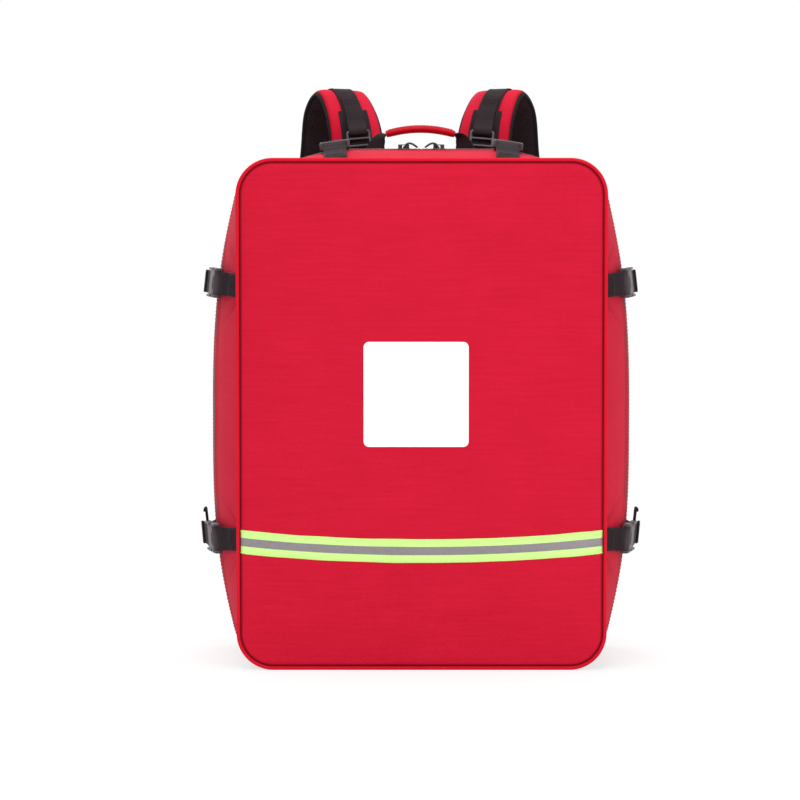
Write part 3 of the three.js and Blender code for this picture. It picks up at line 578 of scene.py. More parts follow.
def outline(spacing=5.0, inset=0.0, cornerSteps=20):
    # round the seam from the middle of the base, up the right side: x, z, nx, nz
    corner = body["corner"] - inset
    x, low, high = halfWidth - body["corner"], footZ + body["corner"], topZ - body["corner"]
    points = []
    centres = [(x, low, -90), (x, high, 0), (-x, high, 90), (-x, low, 180)]
    straight = [(0, footZ + inset, 0, -1)]
    for cx, cz, start in centres:
        arc = []
        for i in range(cornerSteps + 1):
            a = math.radians(start + 90 * i / cornerSteps)
            arc.append((cx + corner * math.cos(a), cz + corner * math.sin(a), math.cos(a), math.sin(a)))
        previous = straight[-1] if not points else points[-1]
        gapLength = math.hypot(arc[0][0] - previous[0], arc[0][1] - previous[1])
        steps = max(int(gapLength / spacing), 1)
        for i in range(0 if not points else 1, steps):
            s = i / steps
            points.append(tuple(previous[k] * (1 - s) + arc[0][k] * s for k in (0, 1)) + arc[0][2:])
        points += arc
    last = points[-1]
    steps = max(int(abs(last[0]) / spacing), 1)
    for i in range(1, steps):
        points.append((last[0] * (1 - i / steps), last[1], 0.0, -1.0))
    return np.array(points)


def zipDepth(z, offset):
    # how far back the zip's line, set back by `offset`, runs at a height on the side
    turnZ = body["endHeight"] + body["turn"]
    radius = body["turn"] + offset
    drop = np.clip((turnZ - z) / radius, 0, 1)
    return np.where(z >= turnZ, zipY + offset, frontY + 1 + radius * np.sqrt(1 - drop ** 2))


# levels, reach, depth, width, from and spread place the grooves; shade is how strongly painted shade darkens
# them
folds = {"levels": (412, 137), "reach": 30, "depth": 2.4, "width": 3.2, "from": 14.5, "spread": 0.75,
         "shade": 0.55}


def pulledFolds(points, outward, shift=0.0):
    # grooves that run back from the corners of the side straps, where they are sewn into the front seam
    side = smooth(0.7, 0.95, np.abs(outward[..., 0]))
    back = points[..., 1] - frontY
    total = np.zeros(back.shape)
    for level in folds["levels"]:
        for direction in (-1, 1):
            off = (points[..., 2] - level) * direction - folds["from"] - folds["spread"] * back - shift
            total += np.exp(-(off / folds["width"]) ** 2)
    return total * side * np.exp(-(back / folds["reach"]) ** 2) * smooth(0, 6, back)


waveSet = {"broad": (0.9, 95), "small": (0.45, 38), "grooveBeside": (0.7, 6)}  # height, and size or distance


def clothWaves(points, outward):
    share = depthShare(points[..., 1])
    (broad, broadSize), (small, smallSize) = waveSet["broad"], waveSet["small"]
    waves = broad * lumps(points, broadSize, 1) + small * lumps(points, smallSize, 2)
    t = (points[..., 1] - frontY) / depth
    waves = waves * share * smooth(0, 0.12, t) * smooth(1.0, 0.9, t)
    ridge, beside = waveSet["grooveBeside"]
    grooves = pulledFolds(points, outward) - ridge * pulledFolds(points, outward, beside)
    return waves - folds["depth"] * grooves


print("red shell")
hem = {"overlap": 7.6, "fold": 7.0, "rise": 0.35, "cloth": 2.2, "lining": 4.6, "stitchIn": 3.2,
       "zipEdge": 14.2}
loop = outline()
loopRun = lengthsAlong(np.column_stack([loop[:, 0], loop[:, 1]]))


def gussetPiece(name, edges, starts, ends, zipEdge, spacing=4.0):
    # cloth between two lines across the gusset: a red outer skin, and the lining behind it
    columns = int(np.max(ends - starts) / spacing) + 2
    share = np.linspace(0, 1, columns)[None, :]
    y = starts[:, None] * (1 - share) + ends[:, None] * share
    fullEdges = np.broadcast_to(edges[:, None], (*y.shape, 4))
    bare = skin(fullEdges, y)
    normals = fullEdges[..., 2:4]
    outward = np.stack([normals[..., 0], np.zeros_like(y), normals[..., 1]], -1)
    toZip = np.abs(y - (ends if zipEdge == "end" else starts)[:, None])
    if zipEdge == "start":
        toZip = np.where((starts > frontY + 2)[:, None], toZip, 99)
    lift = hem["rise"] * smooth(hem["fold"] + 1.5, hem["fold"] - 0.5, toZip) * smooth(-0.2, 0.8, toZip)
    low = smooth(footZ + 3, footZ - 2, bare[..., 2])
    waves = clothWaves(bare, outward) * smooth(0, 12, toZip) * (1 - low)
    outer = skin(fullEdges, y, -(waves + lift))
    inner = skin(fullEdges, y, hem["cloth"] - waves * 0.8)
    # painted shade: the colour is darkened along the front and rear seams, along the zip's fold and in the
    # pulled folds
    paintedShade = smooth(3.0, 0.4, np.minimum(y - frontY, rearY - y)) * 0.75
    paintedShade = np.maximum(paintedShade, 0.5 * np.exp(-((toZip - hem["fold"] - 0.8) / 0.9) ** 2))
    paintedShade = np.maximum(paintedShade, folds["shade"] * np.clip(pulledFolds(bare, outward), 0, 1))
    cloth = clothGrid(y, loopRun[:len(edges)])
    made = thickSheet(name, outer, inner, "redFabric", cloth, paintedShade)
    liner = thickSheet(name + "Lining", skin(fullEdges, y, hem["cloth"] + 0.3 - waves * 0.6),
                       skin(fullEdges, y, hem["lining"] - waves * 0.3), "lining", cloth)
    return made, liner


lidEnd = zipDepth(loop[:, 1], -hem["zipEdge"] + hem["overlap"])
onLid = (loop[:, 1] > body["endHeight"] + 13.2 - hem["overlap"] + 1.5) & (lidEnd > frontY + 2)
lidGusset, lidGussetLining = gussetPiece("lidGusset", loop[onLid], np.full(onLid.sum(), frontY + 0.3),
                                         lidEnd[onLid], "end")
rides(lidGusset, "lid", "lid_gusset")
rides(lidGussetLining, "lid")

wholeLoop = np.concatenate([loop, loop[:1]])
rearStart = np.maximum(zipDepth(wholeLoop[:, 1], hem["zipEdge"] - hem["overlap"]), frontY + 0.3)
loopRun = lengthsAlong(wholeLoop[:, :2])
rearGusset, rearGussetLining = gussetPiece("rearGusset", wholeLoop, rearStart,
                                           np.full(len(wholeLoop), rearY - 0.3), "start")
rides(rearGusset, "pack", "rear_gusset")
rides(rearGussetLining, "pack")


# front panel
def faceY(x, z):
    u = np.clip(np.abs(x) / halfWidth, 0, 1)
    v = np.clip(np.abs(z - footZ - height / 2) / (height / 2), 0, 1)
    return frontY - body["edge"] - body["crown"] * (1 - u ** 3) * (1 - v ** 3)


def insetFrom(x, z):
    # distance inwards from the seam's outline
    corner = body["corner"]
    qx = np.abs(x) - (halfWidth - corner)
    qz = np.abs(z - footZ - height / 2) - (height / 2 - corner)
    outside = np.hypot(np.maximum(qx, 0), np.maximum(qz, 0))
    return corner - outside - np.minimum(np.maximum(qx, qz), 0)


def roundedGrid(spacing, margin=0.0):
    # a grid of (x, z) that fills the outline, with rows gathered towards the corners' arcs
    corner = body["corner"] - margin
    arc = np.sin(np.radians(np.linspace(0, 90, 16))) * corner
    straight = height - 2 * body["corner"]
    middle = np.linspace(0, straight, int(straight / spacing) + 1)
    low = footZ + body["corner"]
    z = np.concatenate([low - arc[::-1], low + middle[1:-1], low + straight + arc])
    over = np.maximum(np.abs(z - footZ - height / 2) - straight / 2, 0)
    half = halfWidth - body["corner"] + np.sqrt(np.maximum(corner ** 2 - over ** 2, 0))
    edge = np.array([0, 0.5, 1.1, 1.8, 2.8, 4.2, 6.5, 9.5]) / (halfWidth - margin)
    inner = np.linspace(edge[-1], 2 - edge[-1], int(2 * halfWidth / spacing))
    share = np.concatenate([edge[:-1], inner, 2 - edge[:-1][::-1]]) - 1
    x = share[None, :] * half[:, None]
    return x, np.broadcast_to(z[:, None], x.shape)


panelSew = {"edgeRound": 6.0, "waves": 0.8, "cloth": 1.6, "pad": 6.0, "corner": 0.9}


def frontFace(x, z):
    # the sewn face: it rolls over from the seam and lies in faint waves
    inset = insetFrom(x, z)
    roll = np.sqrt(np.clip(1 - (1 - np.clip(inset / panelSew["edgeRound"], 0, 1)) ** 2, 0, 1))
    y = frontY - body["gap"] + (faceY(x, z) - frontY + body["gap"]) * roll
    at = np.stack([x, np.zeros_like(x), z], -1)
    waves = panelSew["waves"] * (lumps(at, 120, 5) + 0.4 * lumps(at * [1, 1, 2.2], 60, 6))
    angle = np.arctan2(np.abs(z - footZ - height / 2) - height / 2, np.abs(x) - halfWidth)
    pull = panelSew["corner"] * np.sin(angle * 26) * smooth(4, 16, inset) * smooth(52, 20, inset)
    nearCorner = smooth(90, 40, np.hypot(halfWidth - np.abs(x), height / 2 - np.abs(z - footZ - height / 2)))
    return y - waves * smooth(3, 40, inset) - 0.35 * pull * nearCorner


px, pz = roundedGrid(3.4)
outerFace = np.stack([px, frontFace(px, pz), pz], -1)
innerFace = outerFace.copy()
innerFace[..., 1] = np.minimum(outerFace[..., 1] + panelSew["cloth"], frontY - body["gap"] + 0.05)
# painted shade along the seam round the panel's edge
panelPaintedShade = smooth(3.4, 0.8, insetFrom(px, pz)) * 0.9
panelCloth = np.stack([px, pz], -1)
frontPanel = thickSheet("frontPanel", outerFace, innerFace, "redFabric", panelCloth, panelPaintedShade)
rides(frontPanel, "lid", "front_panel")

lx, lz = roundedGrid(6.0, 1.5)
liningOuter = np.stack([lx, np.minimum(frontFace(lx, lz) + 2.2, frontY - 0.1), lz], -1)
liningInner = liningOuter.copy()
liningInner[..., 1] = np.minimum(faceY(lx, lz) + panelSew["pad"], frontY + 0.2)
quilt = 0.6 * np.cos(lx * np.pi / 30) * np.cos(lz * np.pi / 30)
liningInner[..., 1] -= quilt * smooth(4, 14, insetFrom(lx, lz))
lidLining = thickSheet("lidLining", liningOuter, liningInner, "lining", np.stack([lx, lz], -1))
rides(lidLining, "lid")

# piping: a cord in a folded strip of cloth whose flange is sewn into the seam
pipingSize = {"radius": 2.05, "out": 2.2, "forward": 1.3, "flangeOut": 1.6, "flangeIn": 4.5,
              "flangeThick": 0.5}
fineLoop = outline(4.0, 0, 26)
for name, seamY, forward, rider in (("frontPiping", frontY, -1, "lid"), ("rearPiping", rearY, 1, "pack")):
    line = skin(fineLoop, seamY, -pipingSize["out"])
    line[:, 1] = seamY + forward * pipingSize["forward"]
    cord = tube(name, line, pipingSize["radius"], "redPiping", 12, closed=True)
    rides(cord, rider, "front_piping" if forward < 0 else "rear_piping")
    # a thin rim whose four lines run right round the seam
    half = pipingSize["flangeThick"] / 2
    rim = []
    for inset, shift in ((-pipingSize["flangeOut"], half), (pipingSize["flangeIn"], half),
                         (pipingSize["flangeIn"], -half), (-pipingSize["flangeOut"], -half)):
        edge = skin(fineLoop, seamY, inset)
        edge[:, 1] = seamY + shift
        rim.append(edge)
    # the rim is darkened all over with painted shade, as it sits in the seam
    flange = sweep(name + "Flange", np.stack(rim, 1), "redPiping", closed=True,
                   paintedShade=np.full((len(fineLoop), 4), 0.55))
    rides(flange, rider)

# zip
zipSize = {"tapeWide": 12.9, "start": 1.3, "tapeIn": 1.3, "tapeThick": 1.0, "pitch": 2.0, "coilOut": 3.9,
           "coilIn": 0.25, "coilLift": 0.8,
           "toothRadius": 0.62}


def sideEdge(z):
    corner = body["corner"]
    below = np.clip(footZ + corner - z, 0, corner)
    x = halfWidth - corner + np.sqrt(corner ** 2 - below ** 2)
    return np.stack([x, z, (x - halfWidth + corner) / corner, -below / corner], -1)


def zipLine(offset, inset, spacing):
    # the zip's whole run at an offset from its middle, from the right foot over the top to the left foot
    turnZ = body["endHeight"] + body["turn"]
    steps = int(body["turn"] * np.pi / 2 / spacing)
    a = np.radians(np.linspace(-90, 0, steps, endpoint=False))
    radius = body["turn"] + offset
    turnEdge = sideEdge(turnZ + radius * np.sin(a))
    turnPoints = skin(turnEdge, frontY + 1 + radius * np.cos(a), inset)
    straightZ = np.arange(turnZ, topZ - body["corner"], spacing)
    rim = loop[(loop[:, 1] >= topZ - body["corner"]) & (loop[:, 0] >= 0)]
    fine, = resample(rim, spacing)
    edges = np.concatenate([sideEdge(straightZ), fine])
    edges[:, 2:] = unit(edges[:, 2:])
    run = skin(edges, zipY + offset, inset)
    outward = np.concatenate([turnEdge[:, 2:], edges[:, 2:]])
    normal = np.stack([outward[:, 0], np.zeros(len(outward)), outward[:, 1]], -1)
    right = np.concatenate([turnPoints, run])
    mirror = np.array([-1, 1, 1])
    return np.concatenate([right, right[-2::-1] * mirror]), np.concatenate([normal, normal[-2::-1] * mirror])


print("zip")
for name, direction, rider, node in (("zipHalfLid", -1, "lid", "zip_half_lid"),
                                     ("zipHalfPack", 1, "pack", "zip_half_pack")):
    offsets = np.linspace(zipSize["start"], zipSize["tapeWide"], 5) * direction
    outer = np.stack([zipLine(o, zipSize["tapeIn"], 4.0)[0] for o in offsets], 1)
    inner = np.stack([zipLine(o, zipSize["tapeIn"] + zipSize["tapeThick"], 4.0)[0] for o in offsets], 1)
    cloth = clothGrid(offsets, lengthsAlong(outer[:, 0]))
    made = thickSheet(name, outer, inner, "zipTape", cloth)
    rides(made, rider, node)
    # one side's row of coil loops, each bent over the tape's edge
    stations = [zipLine(o * direction, inset, zipSize["pitch"]) for o, inset in
                ((zipSize["coilOut"], 1.6), (zipSize["coilOut"] - 0.5, 0.5), (1.9, zipSize["coilIn"]),
                 (0.1, 0.55), (-0.35, 1.5))]
    normals = stations[0][1]
    lift = zipSize["coilLift"] * normals * smooth(0.5, 0.95, normals[:, 2:])
    lines = np.stack([s[0] for s in stations], 1) + lift[:, None]
    shift = 0.5 if direction > 0 else 0.0
    along = unit(np.gradient(lines[:, 2], axis=0))
    lines = lines + along[:, None] * zipSize["pitch"] * shift
    points, faces = [], []
    angles = np.linspace(0, 2 * np.pi, 6, endpoint=False)
    for k in range(1, len(lines) - 1):
        path = lines[k]
        start = len(points)
        heading = unit(np.gradient(path, axis=0))
        side = along[k]
        up = unit(np.cross(heading, side))
        for point, u in zip(path, up):
            for angle in angles:
                points.append(point + zipSize["toothRadius"] * (side * math.cos(angle) + u * math.sin(angle)))
        faces += gridFaces(len(path), 6, start, False, True)
        faces += [list(range(start, start + 6)), list(range(start + 24, start + 30))]
    coil = makeObject(name + "Coil", np.array(points), faces, "zipCoil")
    rides(coil, rider)
    stitches, stitchNormals = zipLine(direction * (hem["zipEdge"] - hem["overlap"] + hem["stitchIn"]), -0.42,
                                      6.0)
    rides(stitchRows(name + "Stitching", [(stitches, stitchNormals)], "redThread"), rider)

# reflective tape, name patch
print("trim")
tapeSew = {"width": 25, "stripe": 8.8, "centre": 129, "sag": 8.5, "half": 192.2, "waver": 0.35}


def tapeBand(name, width, lift, thick, finish, columns):
    x = np.linspace(-tapeSew["half"], tapeSew["half"], 150)[:, None]
    across = np.linspace(-0.5, 0.5, columns)[None, :] * width
    waver = tapeSew["waver"] * lumps(np.stack([x[:, 0], x[:, 0] * 0, x[:, 0] * 0], -1), 26, 8)[:, None]
    z = tapeSew["centre"] + tapeSew["sag"] * (x / tapeSew["half"]) ** 2 + across + waver * (2 * across / 25)
    xs = np.broadcast_to(x, z.shape)
    rim = smooth(0.5, 0.42, np.abs(across) / width)
    base = frontFace(xs, z)
    outer = np.stack([xs, base - lift - thick * (0.35 + 0.65 * rim), z], -1)
    inner = np.stack([xs, base - lift + 0.35, z], -1)
    # the tape's ends are darkened with painted shade where they go into the side seams
    return thickSheet(name, outer, inner, finish, np.stack([xs, across + 0 * xs], -1),
                      paintedShade=0.6 * smooth(tapeSew["half"] - 3, tapeSew["half"], np.abs(xs)))


rides(tapeBand("reflectiveTape", tapeSew["width"], 0.15, 0.5, "limeTape", 13), "lid", "reflective_tape")
rides(tapeBand("reflectiveStripe", tapeSew["stripe"], 0.6, 0.3, "silverTape", 7), "lid", "reflective_stripe")


def tapeLine(offset, lift):
    x = np.linspace(-tapeSew["half"] + 1, tapeSew["half"] - 1, 120)
    z = tapeSew["centre"] + tapeSew["sag"] * (x / tapeSew["half"]) ** 2 + offset
    return np.stack([x, frontFace(x, z) - lift, z], -1), (0, -1, 0)


tapeStitch = tapeSew["width"] / 2 - 1.4
rides(stitchRows("tapeStitching", [tapeLine(tapeStitch, 0.75), tapeLine(-tapeStitch, 0.75)], "limeTape"),
      "lid")

_, _, patchSpan, patchMiddle = nodeSpan("name_patch")
patchSew = {"corner": 6, "margin": 2.6, "thick": 0.9}
centreX, _, centreZ = patchMiddle
patchSize = patchSpan[0]


def patchRing(size, corner, lift):
    points = np.array(roundedOutline(size, size, max(corner, 0.5), (centreX, centreZ), 8))
    return np.column_stack([points[:, 0], frontFace(points[:, 0], points[:, 1]) - lift, points[:, 1]])


rings = [patchRing(patchSize, patchSew["corner"], -0.5), patchRing(patchSize, patchSew["corner"], 0.5),
         patchRing(patchSize - 0.6, patchSew["corner"], patchSew["thick"])]
for shrink in np.linspace(1.6, patchSize - 4, 26):
    dip = 0.35 * math.exp(-((shrink / 2 - patchSew["margin"]) / 0.8) ** 2)
    rings.append(patchRing(patchSize - shrink, patchSew["corner"] - shrink / 2, patchSew["thick"] - dip))
rings = np.array(rings)
namePatch = sweep("namePatch", rings, "whitePatch", rings[..., [0, 2]])
rides(namePatch, "lid", "name_patch")
border = patchRing(patchSize - 2 * patchSew["margin"], patchSew["corner"] - patchSew["margin"], 0.85)
border = np.concatenate([border, border[:1]])
rides(stitchRows("patchStitching", [(border, (0, -1, 0))], "whiteThread", 3.2), "lid")

# back panel, with quilted channels
backLow, backHigh = nodeBox("back_panel")
backSet = {"channelAt": 128, "channelWide": 3.0, "channelDeep": 0.5, "narrower": 0.079, "edge": 7,
           "under": 1.2}


def backGrid(spacing, margin):
    x, z = roundedGrid(spacing, margin)
    rise = body["topBulge"] * body["rearShare"] * topShare(x) * smooth(topZ * 0.5, topZ, z)
    side = 1 + body["sideBulge"] * body["rearShare"] * sideShare(z) / halfWidth
    return x * side, z + rise


bx, bz = backGrid(5.0, 0.5)
fromEdge = np.minimum(insetFrom(bx / (1 + backSet["narrower"] * sideShare(bz)), bz), 60)
channelWide = backSet["channelWide"]
channel = np.maximum(np.exp(-(bx / channelWide) ** 2),
                     np.exp(-((np.abs(bx) - backSet["channelAt"]) / channelWide) ** 2))
puff = smooth(0.2, backSet["edge"], fromEdge) * (1 - backSet["channelDeep"] * channel)
backOuter = np.stack([bx, backLow[1] + backSet["under"] + (backHigh[1] - backLow[1] - 1.0) * puff, bz], -1)
backInner = np.stack([bx, np.full_like(bx, backLow[1]), bz], -1)
# the quilted channels are darkened with painted shade
backPanel = thickSheet("backPanel", backOuter, backInner, "blackMesh", np.stack([bx, bz], -1),
                       0.8 * channel * smooth(0, 8, fromEdge))
rides(backPanel, "pack", "back_panel")

# compression straps and their side-release clips
print("clips")
clip = {
    "start": {"top": -50, "upper": -66, "lower": -66}, "length": 60, "female": 36, "width": 32, "thick": 9.5,
        "clear": 1.0,
    "plate": 2.05, "bar": 3, "barAt": 1.7, "barTall": 1.6, "plugBarAt": 4.2, "slot": 4, "rail": 2.8,
        "gap": 0.3, "prong": 4.6, "ridges": 3,
}
strap = {"width": 25, "thick": 1.5, "tail": 40, "levels": {"upper": 412, "lower": 137}, "topAt": 93,
         "free": 79,
         "stand": {"at": 66, "top": 30, "wide": 20}}


def socketMesh():
    # the body's plan has a finger window cut in each side; x runs back along the clip, y across it
    wide, narrow = clip["width"] / 2, clip["width"] / 2 - 3.6
    thick, plateThick = clip["thick"], clip["plate"]
    slotEnd = clip["bar"] + clip["slot"]
    side = [(15, wide), (18.5, wide - 0.8), (21, narrow), (24.5, narrow - 0.5), (28, narrow),
            (30, wide - 1.2),
            (32, wide), (34.6, wide - 0.3), (clip["female"], wide - 1.8)]
    plan = side + [(x, -y) for x, y in side][::-1]
    plate = [(max(x, slotEnd - 0.5), y) for x, y in plan]
    block = roundedOutline(19 - slotEnd, clip["width"], 2, ((19 + slotEnd) / 2, 0))
    parts = [
        plated("socketTop", [plate], plateThick, 0.7, raised(thick - plateThick / 2)),
        plated("socketBottom", [plate], plateThick, 0.7, raised(plateThick / 2)),
        plated("socketBlock", [block], thick - 0.3, 1.1, raised(thick / 2)),
    ]
    for sign in (-1, 1):
        y = sign * (wide - 1.45)
        parts.append(plated("socketRail", [roundedOutline(slotEnd + 3, 2.9, 1.2, ((slotEnd + 3) / 2, y))],
                            thick - 1.6, 0.9, raised(thick / 2)))
        parts.append(plated("socketLip", [roundedOutline(4.5, 2.6, 1.0,
                                                         (clip["female"] - 2.9, y - sign * 0.25))],
                            thick - 0.4, 0.7, raised(thick / 2)))
    parts.append(plated("socketBar", [roundedOutline(clip["bar"], clip["width"] - 3, 1.2,
                                                     (clip["bar"] / 2, 0))],
                        clip["barTall"], 1.2, raised(clip["barAt"])))
    for k in range(clip["ridges"]):
        parts.append(plated("socketRidge", [roundedOutline(1.0, 15 - 2.4 * k, 0.45, (10.5 + 2.6 * k, 0))],
                            1.2, 0.4, raised(thick - 0.15)))
    return joinMeshes("clipSocket", parts)


def plugMesh():
    start = clip["female"] + clip["gap"]
    wide = clip["width"] / 2
    inner = wide - clip["rail"]
    frameThick = 6.9
    firstSlot = start + 6.6
    between = (clip["length"] - clip["bar"] - firstSlot - clip["bar"]) / 2
    high = raised(clip["thick"] - frameThick / 2)
    middle = raised(clip["thick"] / 2)
    head = roundedOutline(firstSlot - start, clip["width"], 2, ((firstSlot + start) / 2, 0))
    parts = [plated("plugHead", [head], frameThick, 1.0, high),
             plated("plugGuide", [roundedOutline(15, 5, 1.4, (31, 0))], clip["prong"], 0.8, middle)]
    arm = [(39, 13.3), (33.5, 13.3), (31, 13.6), (29, 15.2), (27.2, 15.9), (25, 15.3), (22.6, 13.6),
           (21, 11.6),
           (21.5, 10.2), (24, 9.6), (30, 9.0), (39, 8.6)]
    low = raised(clip["plugBarAt"])
    for x in (firstSlot + between + clip["bar"] / 2, clip["length"] - clip["bar"] / 2):
        bar = roundedOutline(clip["bar"], 2 * inner + 1, 1.2, (x, 0))
        parts.append(plated("plugBar", [bar], 3.4, 1.3, low))
    railLength = clip["length"] - firstSlot + 2
    for sign in (-1, 1):
        railAt = (clip["length"] - railLength / 2, sign * (wide - clip["rail"] / 2))
        parts.append(plated("plugRail", [roundedOutline(railLength, clip["rail"], 1.3, railAt)], frameThick,
                            1.0, high))
        parts.append(plated("plugArm", [[(x, sign * y) for x, y in arm][::sign]], clip["prong"], 0.8, middle))
    return joinMeshes("clipPlug", parts)


clipMeshes = {"Socket": socketMesh(), "Plug": plugMesh()}


def placed(name, mesh, matrix, finish):
    copy = mesh.copy()
    copy.transform(matrix)
    if matrix.determinant() < 0:
        copy.flip_normals()
    return finishObject(name, copy, finish)


def camel(*words):
    return words[0] + "".join(word.capitalize() for word in words[1:])


def ribbonAt(name, line, plane, width=None, thick=None, spacing=1.8, edge=1.05):
    # webbing along a line of (u, v) in a plane: its origin, u, v and the way across
    origin, u, v, w = plane
    fine, = resample(smoothLine(line), spacing)
    heading = unit(np.gradient(fine, axis=0))
    centre = origin + fine[:, :1] * u + fine[:, 1:] * v
    outward = -heading[:, 1:] * u + heading[:, :1] * v
    across = np.broadcast_to(w, centre.shape)
    made = sweptStrip(name, centre, across, outward, width or strap["width"], thick or strap["thick"],
                      "blackWebbing", edge=edge)
    return made, centre, outward


def boxStitch(centre, u, w, normal, length, width):
    # a sewn box with a cross in it
    corners = [centre + u * a * length / 2 + w * b * width / 2 for a,
               b in ((-1, -1), (1, -1), (1, 1), (-1, 1))]
    rows = [(np.array([corners[i], corners[(i + 1) % 4]]), normal) for i in range(4)]
    rows += [(np.array([corners[0], corners[2]]), normal), (np.array([corners[1], corners[3]]), normal)]
    return rows


def compressionStrap(level, side, pointAt, outwards):
    label = (level, side)
    start = clip["start"][level]
    u = np.array([0.0, 1, 0])
    middle = start + clip["length"] / 2
    origin = pointAt(middle, 0.0)
    chord = pointAt(middle, clip["width"] / 2) - pointAt(middle, -clip["width"] / 2)
    chord[1] = 0
    w = unit(chord)
    v = np.cross(w, u)
    v = v if v @ outwards > 0 else -v
    w = np.cross(u, v)
    origin[1] = 0
    shares = (-0.5, -0.25, 0, 0.25, 0.5)

    def surface(y):
        return max(float((pointAt(y, share * clip["width"]) - origin) @ v) for share in shares)

    end = start + clip["length"]
    slope = (surface(end) - surface(start)) / clip["length"]
    angle = math.atan(slope)
    spots = np.arange(start, end + 1, 2.0)
    lift = max(0, *(surface(y) - surface(start) - slope * (y - start) for y in spots))
    base = surface(start) + lift + clip["clear"]

    def inClip(a, b):
        return (start + a * math.cos(angle) - b * math.sin(angle),
                base + a * math.sin(angle) + b * math.cos(angle))

    axisU = u * math.cos(angle) + v * math.sin(angle)
    axisV = -u * math.sin(angle) + v * math.cos(angle)
    place = basisMatrix(axisU, w, axisV, origin + u * start + v * base)
    socket = placed(camel("clipSocket", *label), clipMeshes["Socket"], place, "blackPlastic")
    rides(socket, "lid", f"clip_socket_{level}_{side}")
    plugName = f"plug_{level}_{side}"
    plugPiece = placed(camel("clipPlug", *label), clipMeshes["Plug"], place, "blackPlastic")
    rides(plugPiece, plugName, f"clip_plug_{level}_{side}")

    plane = (origin, u, v, w)
    seam = frontY + 0.8
    off = 2.6
    front = [(seam, surface(seam) - 1.0), (seam + 2.5, surface(seam) + 1.6)]
    front += [(y, surface(y) + off) for y in (seam + 9, start - 13)]
    barAt = clip["barAt"]
    front += [inClip(-5, barAt + 1.0), inClip(-0.5, barAt + 1.7), inClip(3.2, barAt + 1.6),
              inClip(4.4, barAt),
              inClip(3.2, barAt - 1.6), inClip(0, barAt - 1.6), inClip(-6, barAt - 1.3)]
    front += [(y, surface(y) + 1.75) for y in (start - 14, start - 21)]
    made, _, _ = ribbonAt(camel("strapFront", *label), front, plane)
    rides(made, "lid", f"strap_front_{level}_{side}")
    spot = seam + 12
    rows = boxStitch(origin + u * spot + v * (surface(spot) + off + 0.75), u, w, v, 11, 17)
    rides(stitchRows(camel("strapFrontStitching", *label), rows, "blackThread", 2.6), "lid")

    under = 1.05
    back = rearY - 0.8
    runStart, runEnd = inClip(44.5, under), inClip(strap["free"], under)
    rear = [runStart, runEnd]
    for share in (0.35, 0.6, 0.82):
        y = runEnd[0] * (1 - share) + back * share
        rear.append((y, runEnd[1] * (1 - share ** 1.2) + (surface(back) + 2.2) * share ** 1.2))
    rear += [(back - 3, surface(back) + 2.0), (back, surface(back) - 1.0)]
    made, _, _ = ribbonAt(camel("strapRear", *label), rear, plane, spacing=2.5)
    rides(made, "pack", f"strap_rear_{level}_{side}")

    # the loop over the plug's bar and the loose tail behind it, with its end turned over and sewn
    high = clip["plugBarAt"] + 2.6
    tail = [(45.6, 2.0), (45.7, 5.0), (47.4, high), (50, high + 0.1), (52.6, high - 0.6), (54.6, high - 1.7),
            (56.6, high - 0.5), (59.5, high + 0.1), (66, high - 0.3), (76, high - 1.2), (88, high - 1.7),
            (88 + strap["tail"] * 0.4, high - 1.6)]
    endAt = tail[-1]
    tail += [(endAt[0] + 1.4, endAt[1] + 0.8), (endAt[0] + 0.6, endAt[1] + 1.75),
             (endAt[0] - 9, endAt[1] + 1.6)]
    made, _, _ = ribbonAt(camel("strapTail", *label), [inClip(*point) for point in tail], plane, spacing=1.5)
    rides(made, plugName)
    if level == "lower":
        # this strap's spare length is tucked up behind the clip, and its folded end stands above it
        stand = strap["stand"]
        heights = np.array([clip["width"] / 2 - 14, clip["width"] / 2 - 4, clip["width"] / 2 + 4,
                            stand["top"] - 3,
                            stand["top"] - 0.8, stand["top"], stand["top"] - 0.5, stand["top"] - 4])
        outs = np.array([-1.4, -1.3, -1.2, -1.1, -1.0, -0.3, 0.5, 0.7])
        spot = inClip(stand["at"], high - 0.2)
        foot = origin + u * spot[0] + v * spot[1]
        rise = w * (1 if w[2] > 0 else -1)
        made, _, _ = ribbonAt(camel("strapEnd", *label), np.column_stack([heights, outs]), (foot, rise, v, u),
                              stand["wide"], spacing=1.2)
        rides(made, plugName)
    foldAt = inClip(endAt[0] - 5, endAt[1] + 2.4)
    foldCentre = origin + u * foldAt[0] + v * foldAt[1]
    rows = [(np.array([foldCentre + u * d - w * 9, foldCentre + u * d + w * 9]), v) for d in (-2, 2)]
    rides(stitchRows(camel("strapTailStitching", *label), rows, "blackThread", 2.6), plugName)


def topPoint(x, y):
    return np.array([x, y, topZ + body["topBulge"] * float(depthShare(y)) * float(topShare(x))])


def sidePoint(side, z, y):
    reach = halfWidth + body["sideBulge"] * float(depthShare(y)) * float(sideShare(np.float64(z)))
    return np.array([side * reach, y, z])


for side, label in ((-1, "left"), (1, "right")):
    def overTop(y, w):
        return topPoint(side * strap["topAt"] + w, y)

    compressionStrap("top", label, overTop, np.array([0, 0, 1]))
    for level, z in strap["levels"].items():
        def onSide(y, w):
            return sidePoint(side, z + w, y)

        compressionStrap(level, label, onSide, np.array([side, 0, 0]))

# zip sliders and their pulls
print("sliders")
sliderSet = {"apart": 38, "tilt": 4.61, "at": (-29.86, 553.99), "room": 2.2, "wing": 1.6, "width": 11,
             "bridge": 4.6, "bridgeLong": 12, "bridgeWide": 3.4, "roof": 1.1, "wireRoom": 0.6,
             "pullLong": 16, "pullWide": 8, "wire": 1.05,
             "wireClear": 0.05, "rise": 4.4}


